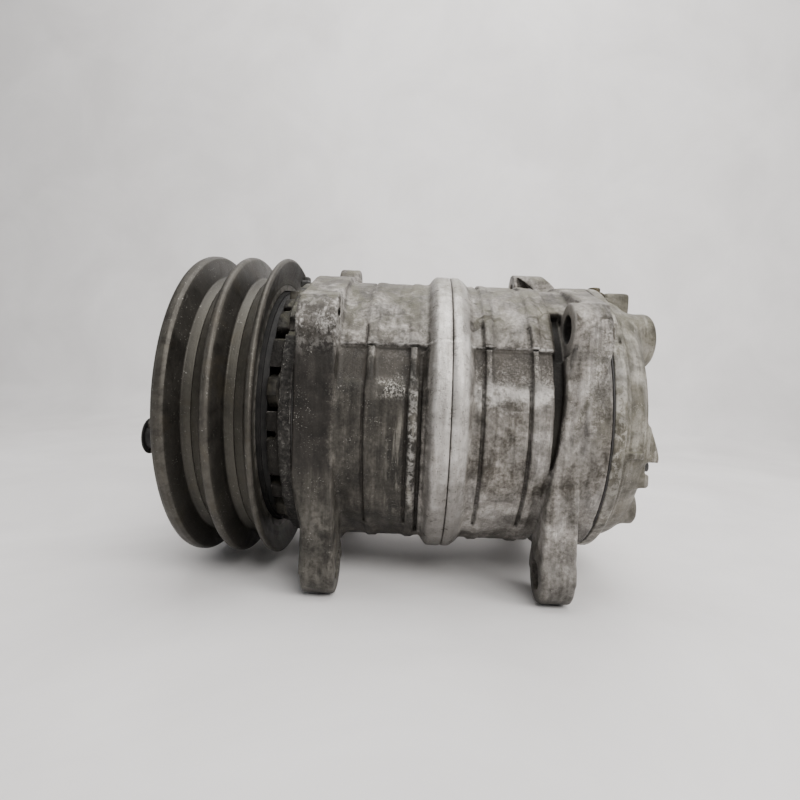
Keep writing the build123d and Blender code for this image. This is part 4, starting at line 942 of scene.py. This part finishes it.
    # oil filler boss
    y_, z_ = at(1, 161.0)
    X3 = F.x[:, None, None] - 21.0
    along = (F.Y * y_ + F.Z * z_)[None]
    perp = (F.Y * -z_ + F.Z * y_)[None]
    rad = np.sqrt(X3 ** 2 + perp ** 2)
    F.add(np.maximum(rad - 7.5, np.abs(along - 55.2) - 4.8), 1.0)
    inner(F, 1)
    F.cut(np.maximum(rad - 4.1, np.abs(along - 56) - 6), 0.1)
    F.d = np.maximum(F.d, F.slab(0.0, 58.5))
    return F


DIS, SUC = (-24.0, 34.4), (20.0, 41.0)


def rear_head_field():
    h = 0.62
    F = Field((57.6, -61.5, -61.5), (87.2, 61.5, 62), h)
    F.add(F.turned([(59.0, 0), (59.0, 58.0), (59.4, 58.7), (63.2, 58.7), (63.9, 58.0), (64.4, 54.2), (70.2, 53.6), (72.6, 52.4), (74.6, 50.2), (75.9, 47.2), (76.5, 43.0), (76.5, 0)]), 0.5)
    F.add(np.maximum(F.circ(23.5), F.slab(70, 81.5)), 1.6)
    # rib along the near side, beside the joint
    F.add(np.maximum(np.maximum(F.sector(-11.5, -8.6), F.slab(64, 72)), np.maximum(F.circ(55.2), -F.circ(45))), 1.0)
    F.add(np.maximum(np.maximum(F.circ(54.9), -F.circ(50)), F.slab(64.0, 66.4)), 0.8)
    boss = smax(F.circ(11.5, DIS), F.slab(60, 83.0), 3.4)
    F.add(boss, 2.4)
    # neck that carries the port down into the shoulder of the head
    F.add(smax(F.circ(13.0, (-25.5, 30.5)), F.slab(60, 74.5), 3.0), 3.0)
    blk = smax(smax(F.slab(60.3, 85.5), F.ys(3.0, 37.0), 2.0), F.zs(25, 46), 2.0)
    F.add(blk, 2.5)
    blk = smax(smax(F.slab(73.0, 85.5), F.ys(3.0, 37.0), 2.0), F.zs(38, 58.5), 2.0)
    F.add(blk, 1.6)
    # relief valve boss
    X3 = F.x[:, None, None]
    rv = np.sqrt((X3 - 68.4) ** 2 + (F.Y[None] - 3.0) ** 2)
    F.add(np.maximum(rv - 6.5, F.zs(48, 55.2)), 1.2)
    # switch lugs
    lug = smax(F.pxz([(60, 1.3), (76.0, 1.3), (79.0, -7.0), (79.8, -10.6), (79.5, -12.9), (60, -12.9)]), F.ys(-50.5, -33.0), 1.6)
    F.add(np.maximum(lug, F.circ(53.0)), 1.6)
    lug = smax(F.pxz([(60, -12.0), (77.4, -12.0), (77.4, -22.0), (76.4, -23.0), (60, -23.0)]), F.ys(-48.5, -33.0), 1.4)
    F.add(np.maximum(lug, F.circ(53.0)), 1.6)
    for a in (-52, -100, 165, 205, 235):
        d = at(1, a); n = (-d[1], d[0])
        F.add(np.maximum(F.pyz([(d[0] * 20 + n[0] * 2.0, d[1] * 20 + n[1] * 2.0), (d[0] * 47 + n[0] * 2.0, d[1] * 47 + n[1] * 2.0),
                                (d[0] * 47 - n[0] * 2.0, d[1] * 47 - n[1] * 2.0), (d[0] * 20 - n[0] * 2.0, d[1] * 20 - n[1] * 2.0)]), F.slab(70, 79.3)), 1.6)
    for a in BOLTS:
        if a not in (11.0, 71.0):
            F.add(smax(F.circ(7.3, at(45.5, a)), F.slab(60, 78.4), 1.6), 1.8)
    F.cut(np.maximum(F.circ(53.2), F.slab(50, 63.8)), 0.1)
    F.cut(np.maximum(np.maximum(F.circ(43), -F.circ(27)), F.slab(60, 70.5)), 0.1)
    F.cut(np.maximum(np.maximum(F.circ(24), -F.circ(14.5)), F.slab(60, 70.5)), 0.1)
    for a in BOLTS:
        F.cut(np.maximum(F.circ(4.1, at(48.5, a)), F.slab(50, 70.0)), 0.1)
    F.cut(np.maximum(np.maximum(F.slab(75.6, 95), F.ys(-70, -20)), F.zs(-17.4, -12.9)), 0.8)
    F.cut(np.maximum(F.circ(2.3, (-42.0, -15.15)), F.slab(72.4, 95)), 0.1)
    F.cut(np.maximum(F.circ(8.6, DIS), F.slab(70, 95)), 0.6)
    F.cut(np.maximum(F.circ(12.7, SUC), F.slab(71.5, 95)), 0.6)
    F.cut(np.maximum(F.circ(5.5, DIS), F.slab(50, 72)), 0.1)
    F.cut(np.maximum(F.circ(7.0, SUC), F.slab(50, 72)), 0.1)
    F.cut(np.maximum(rv - 4.2, F.zs(40, 70)), 0.1)
    F.cut(np.maximum(F.circ(14.1, (-1.3, 0)), F.slab(73.2, 95)), 0.1)
    F.cut(np.maximum(F.circ(5.7), F.slab(50, 76)), 0.1)
    for a in (45, 135, 225, 315):
        F.cut(np.maximum(F.circ(1.9, at(19.6, a)), F.slab(72, 95)), 0.1)
    F.cut(np.maximum(F.circ(5.6, EAR_A), F.slab(50, 64.6)), 0.2)
    F.d = np.maximum(F.d, -(F.x - 59.0)[:, None, None])
    return F


def front_head_field():
    h = 0.62
    F = Field((-78.6, -59, -59), (-57.4, 59, 59), h)
    F.add(F.turned([(-59.0, 0), (-59.0, 56.7), (-59.4, 57.2), (-63.7, 57.2), (-64.2, 56.5), (-64.2, 54.0), (-69.4, 53.6), (-69.4, 24.1), (-76.0, 24.0), (-77.0, 23.4), (-77.0, 0)]), 0.3)
    F.cut(np.maximum(F.circ(53.2), F.slab(-63.8, -50)), 0.1)
    F.cut(np.maximum(np.maximum(F.circ(41.5), -F.circ(28)), F.slab(-67.2, -60)), 0.1)
    F.cut(np.maximum(np.maximum(F.circ(25), -F.circ(13.5)), F.slab(-67.2, -60)), 0.1)
    F.cut(np.maximum(F.circ(9.3), F.slab(-90, -60)), 0.1)
    for a in BOLTS:
        y, z = at(49.3, a)
        F.cut(np.maximum(np.maximum(F.circ(8.9, (y, z)), F.slab(-80, -64.2)), -F.circ(40.2)), 0.8)
        F.cut(np.maximum(F.circ(4.2, at(48.5, a)), F.slab(-80, -50)), 0.1)
    # gaps between the cast pads, and a rough ring of pads
    for a in (-29.5, 36.2, 92.0, 150.0, 212.0, 270.0):
        F.cut(np.maximum(np.maximum(F.sector(a - 2.2, a + 2.2), F.slab(-80, -64.2)), -F.circ(46)), 1.2)
    for a in (-8.0, 52.0, 112.0, 172.0, 232.0, 292.0):
        F.cut(np.maximum(np.maximum(F.sector(a - 1.3, a + 1.3), F.slab(-80, -66.0)), -F.circ(48)), 0.8)
    for a in (41, 161, 281):
        F.cut(np.maximum(F.circ(1.7, at(33.0, a)), F.slab(-90, -60)), 0.1)
    F.cut(np.maximum(F.circ(5.6, EAR_A), F.slab(-66, -50)), 0.2)
    F.d = np.maximum(F.d, (F.x + 59.0)[:, None, None])
    F.d = np.maximum(F.d, -(F.x + 77.0)[:, None, None])
    return F


def head_keep(V):
    """Cast texture on the outside only."""
    r = np.hypot(V[:, 1], V[:, 2])
    outer = np.clip((r - 25.5) / 1.5, 0, 1)
    x = np.abs(V[:, 0])
    seat = np.where((x < 64.0) & (r < 57.0), 0.0, 1.0)
    ends = np.clip((x - 59.6) / 0.5, 0, 1)
    ring = np.where((x < 70.8) & (r < 52.6), 0.0, 1.0)
    return outer * ends * seat * ring


def cast_keep(V):
    """No cast texture on the machined ends, bores and joint faces."""
    r = np.hypot(V[:, 1], V[:, 2])
    outer = np.clip((r - 52.5) / 1.5, 0, 1)
    x = np.abs(V[:, 0])
    ends = np.clip((58.0 - x) / 0.8, 0, 1) * np.clip((x - 0.25) / 0.5, 0, 1)
    return outer * ends


import time
_t = time.time()
fc = cast_obj("front_cylinder_casting", front_half(), "casing", "front_cylinder", MAT["cast_front"], seed=1, keep=cast_keep)
print("front", len(fc.data.vertices), round(time.time() - _t, 1))
_t = time.time()
rc = cast_obj("rear_cylinder_casting", rear_half(), "casing", "rear_cylinder", MAT["cast_rear"], seed=7, keep=cast_keep)
print("rear", len(rc.data.vertices), round(time.time() - _t, 1))
_t = time.time()
cast_obj("rear_head_casting", rear_head_field(), "casing", "rear_head", MAT["rear_head"], seed=11, keep=head_keep, faces=150000)
print("rear head", round(time.time() - _t, 1))
_t = time.time()
fh = front_head_field()
fhc = cast_obj("front_head_casting", fh, "casing", "front_head", MAT["front_head"], seed=13, rough=0.14, keep=head_keep, faces=110000)
print("front head", round(time.time() - _t, 1))

# ------------------------------------------------------------------------------ pulley and clutch, turned shapes
P_R = 67.5


def turned(name, pts, body, node, mat, n=220, default=0.3, centre=(0, 0)):
    V, F = lathe(round_profile(pts, default), n, centre)
    return make_obj(name, V, F, body, node, mat, auto=40)


turned("sheave_front_ring", [(-107.4, 56.1), (-107.4, 63.0), (-107.25, 65.6), (-106.9, 67.0, 0.8), (-105.6, P_R, 1.6), (-103.6, P_R, 1.4), (-102.4, 66.7, 0.7), (-99.9, 58.6, 1.0), (-96.2, 57.9), (-96.2, 56.1)],
       "pulley", "sheave_front", MAT["pulley"])
turned("sheave_middle_ring", [(-96.1, 56.1), (-96.1, 57.9), (-92.5, 58.3, 1.0), (-89.8, 66.6, 1.2), (-88.9, P_R, 1.4), (-87.3, P_R, 1.4), (-86.4, 66.6, 1.2), (-83.7, 58.3, 1.0), (-80.1, 57.9), (-80.1, 56.1)],
       "pulley", "sheave_middle", MAT["pulley"])
turned("sheave_rear_ring", [(-80.0, 56.1), (-80.0, 57.9), (-76.2, 58.3, 1.0), (-73.5, 66.6, 1.2), (-72.7, P_R, 1.2), (-71.6, P_R, 1.2), (-70.8, 66.4, 0.8), (-72.6, 60.5, 1.5), (-73.2, 56.1)],
       "pulley", "sheave_rear", MAT["pulley"])


# ------------------------------------------------------------------------------ front head nose, clutch, fasteners
def sweep_parts(name, parts, body, node, mat, auto=35):
    V, F = join(parts)
    return make_obj(name, V, F, body, node, mat, auto=auto)


def lp(pts, n, yz=(0, 0), default=0.25):
    return lathe(round_profile(pts, default), n, yz)


def hex_pts(af, yz, turn=0):
    r = af / math.sqrt(3)
    return [(yz[0] + r * math.cos(math.radians(60 * k + turn)), yz[1] + r * math.sin(math.radians(60 * k + turn))) for k in range(6)]


def field_obj(name, F, body, node, mat, faces=60000):
    return cast_obj(name, F, body, node, mat, rough=0.0, ripple=0.0, seed=3, faces=faces, keep=lambda V: np.zeros(len(V)))


V, F_ = lp([(-76.7, 13.05), (-76.7, 20.0), (-101.1, 20.0, 0.1), (-101.2, 19.1, 0.1), (-102.6, 19.1, 0.1), (-102.7, 20.0, 0.1), (-103.5, 20.0, 0.2), (-104.0, 19.4, 0.2), (-104.0, 13.2), (-103.6, 13.0)], 96)
make_obj("front_head_nose", V, F_, "casing", "front_head", MAT["front_head"], auto=35)

# hub plate: three pressed arms on a dished centre
PX0, PX1 = -115.0, -112.7
STOPS, STOP_R = (-11.5, 108.5, 228.5), 50.4
outl = []
for a in STOPS:
    d, n = at(1, a), at(1, a + 90)
    for u, v in ((24.0, -21.5), (40.0, -13.5), (STOP_R - 4, -10.2), (STOP_R + 2.6, -6.4), (STOP_R + 4.6, 0.0), (STOP_R + 2.6, 6.4), (STOP_R - 4, 10.2), (40.0, 13.5), (24.0, 21.5)):
        outl.append((d[0] * u + n[0] * v, d[1] * u + n[1] * v))
F = Field((-116.2, -57, -57), (-102.0, 57, 57), 0.5)
F.add(smax(F.pyz(outl), F.slab(PX0, PX1), 0.9), 0.1)
F.cut(np.maximum(F.circ(17.0), F.slab(-120, -100)), 0.1)
F.add(F.turned([(-111.9, 6.4), (-103.2, 7.2), (-103.2, 12.5), (-111.4, 12.5), (-112.7, 14.2), (-112.7, 18.0), (-115.0, 18.0), (-115.0, 10.5), (-113.2, 8.8), (-113.2, 4.2), (-112.7, 4.2)]), 0.7)
# stiffening bead along each arm, pressed inwards
for a in STOPS:
    F.cut(np.maximum(F.circ(5.05, at(STOP_R, a)), F.slab(-120, -110)), 0.1)
    F.cut(np.maximum(F.circ(2.05, at(30.5, a + 24)), F.slab(-120, -110)), 0.1)
    F.cut(np.maximum(np.maximum(np.maximum(F.sector(a - 15, a + 9), F.circ(34.0)), -F.circ(24.0)), F.slab(-120, -110)), 0.6)
    d, n = at(1, a), at(1, a + 90)
    q = [(d[0] * u + n[0] * v, d[1] * u + n[1] * v) for u, v in ((37.5, -3.2), (43.0, -2.2), (43.0, 2.2), (37.5, 3.2))]
    F.cut(smax(F.pyz(q), F.slab(-116.5, -114.3), 1.0), 0.8)
F.d = np.maximum(F.d, -(F.x + 115.0)[:, None, None])
field_obj("clutch_hub_plate", F, "shaft", "clutch_hub", MAT["clutch"], faces=90000)

parts = []
for a in STOPS:
    y, z = at(STOP_R, a)
    parts.append(lp([(-112.2, 0), (-112.2, 5.0), (-115.0, 5.0, 0.1), (-115.0, 6.95, 0.3), (-115.65, 6.95, 0.35), (-115.75, 5.9, 0.3), (-116.5, 5.0, 0.9), (-117.15, 2.9, 1.2), (-117.3, 0)], 48, (y, z)))
sweep_parts("rubber_stop_domes", parts, "shaft", "rubber_stops", MAT["rubber"])
parts, parts2 = [], []
for a in STOPS:
    p, q = at(30.5, a + 24), at(39.5, a + 78)
    parts.append(lp([(-111.55, 0), (-111.55, 3.3, 0.3), (-112.05, 3.4, 0.1), (-112.05, 2.0, 0.05), (-115.0, 2.0, 0.05), (-115.0, 3.8, 0.2), (-115.7, 3.5, 0.6), (-116.3, 2.2, 0.8), (-116.5, 0)], 32, p))
    parts2.append(lp([(-108.4, 0), (-108.4, 2.0, 0.1), (-113.25, 2.0, 0.05), (-113.25, 3.9, 0.2), (-113.9, 3.7, 0.6), (-114.6, 2.2, 0.8), (-114.75, 0)], 32, q))
sweep_parts("hub_rivet_heads", parts, "shaft", "hub_rivets", MAT["zinc"])
sweep_parts("armature_rivet_heads", parts2, "armature", "armature_rivets", MAT["zinc"])
F = Field((-119.6, -9.5, -9.5), (-112.2, 9.5, 9.5), 0.3)
F.add(np.maximum(smax(F.pyz(hex_pts(14.0, (0, 0), 12)), F.slab(-118.6, -113.2), 0.3), F.turned([(-118.6, 0), (-118.6, 7.2), (-117.5, 8.15), (-113.2, 8.2), (-113.2, 0)])), 0.05)
F.cut(np.maximum(F.circ(4.06), F.slab(-130, -110)), 0.2)
F.d = np.maximum(F.d, F.slab(-118.6, -113.2))
field_obj("hub_nut_hex", F, "shaft", "hub_nut", MAT["zinc"], faces=20000)

# through bolts: shanks and chamfered heads
parts = []
for a in BOLTS:
    yz = at(48.5, a)
    parts.append(lp([(-66.0, 0), (-66.0, 3.95), (69.4, 3.95, 0.5), (69.4, 0)], 20, yz))
    parts.append(prism_x(hex_pts(11.96, yz, a), -69.3, -65.1, 0.7))
    parts.append(lp([(-65.1, 0), (-65.1, 6.4), (-65.6, 6.4), (-65.6, 0)], 24, yz))
sweep_parts("through_bolt_set", parts, "casing", "through_bolts", MAT["zinc"])


def turned_to(part, origin, axis):
    """Moves a part built along +X from x = 0 on to an origin and a direction."""
    V, F = part
    ax = Vector(axis).normalized()
    q = Vector((1, 0, 0)).rotation_difference(ax)
    return [tuple(q @ Vector(v) + Vector(origin)) for v in V], F


y_, z_ = at(1, 161.0)
plug = [lp([(51.5, 0), (51.5, 3.9), (60.0, 3.95, 0.1), (60.0, 7.2, 0.2), (61.2, 7.2, 0.3), (61.25, 6.0, 0.1), (61.25, 0)], 40), prism_x(hex_pts(12.0, (0, 0)), 61.2, 65.2, 0.6)]
sweep_parts("oil_plug_hex", [turned_to(q, (21.0, 0, 0), (0, y_, z_)) for q in plug], "casing", "oil_filler_plug", MAT["zinc"])
rvp = [lp([(46, 0), (46, 3.9), (55.2, 3.95), (55.2, 0)], 28), prism_x(hex_pts(8.4, (0, 0), 30), 55.2, 57.9, 0.5), lp([(57.8, 0.9), (57.8, 2.8), (60.1, 2.75, 0.6), (60.3, 1.6, 0.3), (60.2, 0.9)], 28)]
sweep_parts("relief_valve_body", [turned_to(q, (68.4, 3.0, 0), (0, 0, 1)) for q in rvp], "casing", "pressure_relief_valve", MAT["brass"])
F = Field((-69.2, -4.1, 53.6), (-63.6, 6.1, 61.4), 0.25)
F.add(smax(smax(F.slab(-68.6, -64.3), F.ys(-3.5, 5.5), 0.9), F.zs(54.35, 58.4), 0.9), 0.1)
F.add(smax(smax(F.slab(-67.8, -65.0), F.ys(-1.5, 3.5), 0.8), F.zs(56, 60.6), 0.8), 0.5)
F.cut(smax(smax(F.slab(-67.2, -65.6), F.ys(-0.8, 2.8), 0.3), F.zs(59.4, 66), 0.3), 0.1)
field_obj("coil_terminal_block", F, "casing", "coil_lead_terminal", MAT["plastic"], faces=20000)
V, F_ = lp([(81.5, 0), (81.5, 23.3, 0.3), (83.9, 23.2, 0.9), (84.5, 22.0, 0.3), (84.5, 12.6, 0.4), (84.0, 11.8, 0.3), (84.0, 8.4, 0.3), (85.4, 7.4, 0.8), (85.6, 5.5, 0.4), (85.6, 0)], 120)
make_obj("pump_cover_cap", V, F_, "casing", "pump_cover", MAT["rear_head"], auto=35)
parts = []
for a in (45, 135, 225, 315):
    yz = at(19.6, a)
    parts.append(lp([(74.6, 0), (74.6, 1.68), (84.5, 1.68, 0.05), (84.5, 3.0, 0.1), (86.2, 3.0, 0.5), (86.9, 2.2, 0.3), (86.9, 1.45, 0.1), (85.4, 1.4, 0.1), (85.4, 0)], 28, yz))
sweep_parts("pump_screw_set", parts, "casing", "pump_cover_screws", MAT["zinc"])

# ------------------------------------------------------------------------------ stage
fl = bpy.data.meshes.new("floor")
fl.from_pydata([(-1.6, -1.2, 0), (1.8, -1.2, 0), (1.8, 0.42, 0), (-1.6, 0.42, 0), (1.8, 0.47, 0.012), (-1.6, 0.47, 0.012), (1.8, 0.495, 0.05), (-1.6, 0.495, 0.05), (1.8, 0.50, 1.4), (-1.6, 0.50, 1.4)], [],
               [(0, 1, 2, 3), (3, 2, 4, 5), (5, 4, 6, 7), (7, 6, 8, 9)])
floor = bpy.data.objects.new("floor", fl)
floor.location.z = -0.0702
bpy.context.scene.collection.objects.link(floor)
for p in fl.polygons:
    p.use_smooth = True
FM = Mat("floor_pale")
FM_c = FM.ramp(FM.noise(9, 5, 0.6, 0.4), [(0.35, (0.72, 0.705, 0.70)), (0.65, (0.82, 0.805, 0.80))])
fl.materials.append(FM.done(FM_c, 0.55, 0.0))


def area(name, loc, target, size, power, color=(1, 1, 1), size_y=None):
    li = bpy.data.lights.new(name, "AREA")
    li.energy = power; li.size = size; li.color = color
    if size_y:
        li.shape = "RECTANGLE"; li.size_y = size_y
    ob = bpy.data.objects.new(name, li)
    ob.location = loc
    d = Vector(target) - Vector(loc)
    ob.rotation_euler = d.to_track_quat("-Z", "Y").to_euler()
    bpy.context.scene.collection.objects.link(ob)


area("key", (0.34, -0.66, 0.66), (0.08, 0, 0), 0.45, 5.6, (1.0, 0.98, 0.955))
area("top", (0.14, 0.02, 0.90), (0.09, 0, 0), 0.8, 10.5, (1.0, 0.985, 0.97))
area("left", (-0.75, -0.35, 0.35), (0.02, 0, 0), 0.5, 1.3, (0.96, 0.98, 1.0))
area("right", (0.78, -0.50, 0.46), (0.10, 0, 0), 0.36, 5.6, (1.0, 0.975, 0.95))
w = bpy.data.worlds.new("world") if not bpy.context.scene.world else bpy.context.scene.world
bpy.context.scene.world = w
w.use_nodes = True
w.node_tree.nodes["Background"].inputs[0].default_value = (0.93, 0.94, 0.96, 1)
w.node_tree.nodes["Background"].inputs[1].default_value = 0.135

cam_d = bpy.data.cameras.new("camera")
cam_d.sensor_width = 36.0
cam_d.lens = 528.0 / 800.0 * 36.0
cam_d.clip_start = 0.01
cam = bpy.data.objects.new("camera", cam_d)
fw = Vector((-0.02873, 0.99746, -0.06523))
r2 = Vector((0.99882, 0.03122, 0.03744))
u2 = Vector((-0.03938, 0.06407, 0.99718))
cam.matrix_world = Matrix(((r2.x, u2.x, -fw.x, (-13.3 + S0) * MM), (r2.y, u2.y, -fw.y, -0.2501), (r2.z, u2.z, -fw.z, 0.0207), (0, 0, 0, 1)))
bpy.context.scene.collection.objects.link(cam)
bpy.context.scene.camera = cam
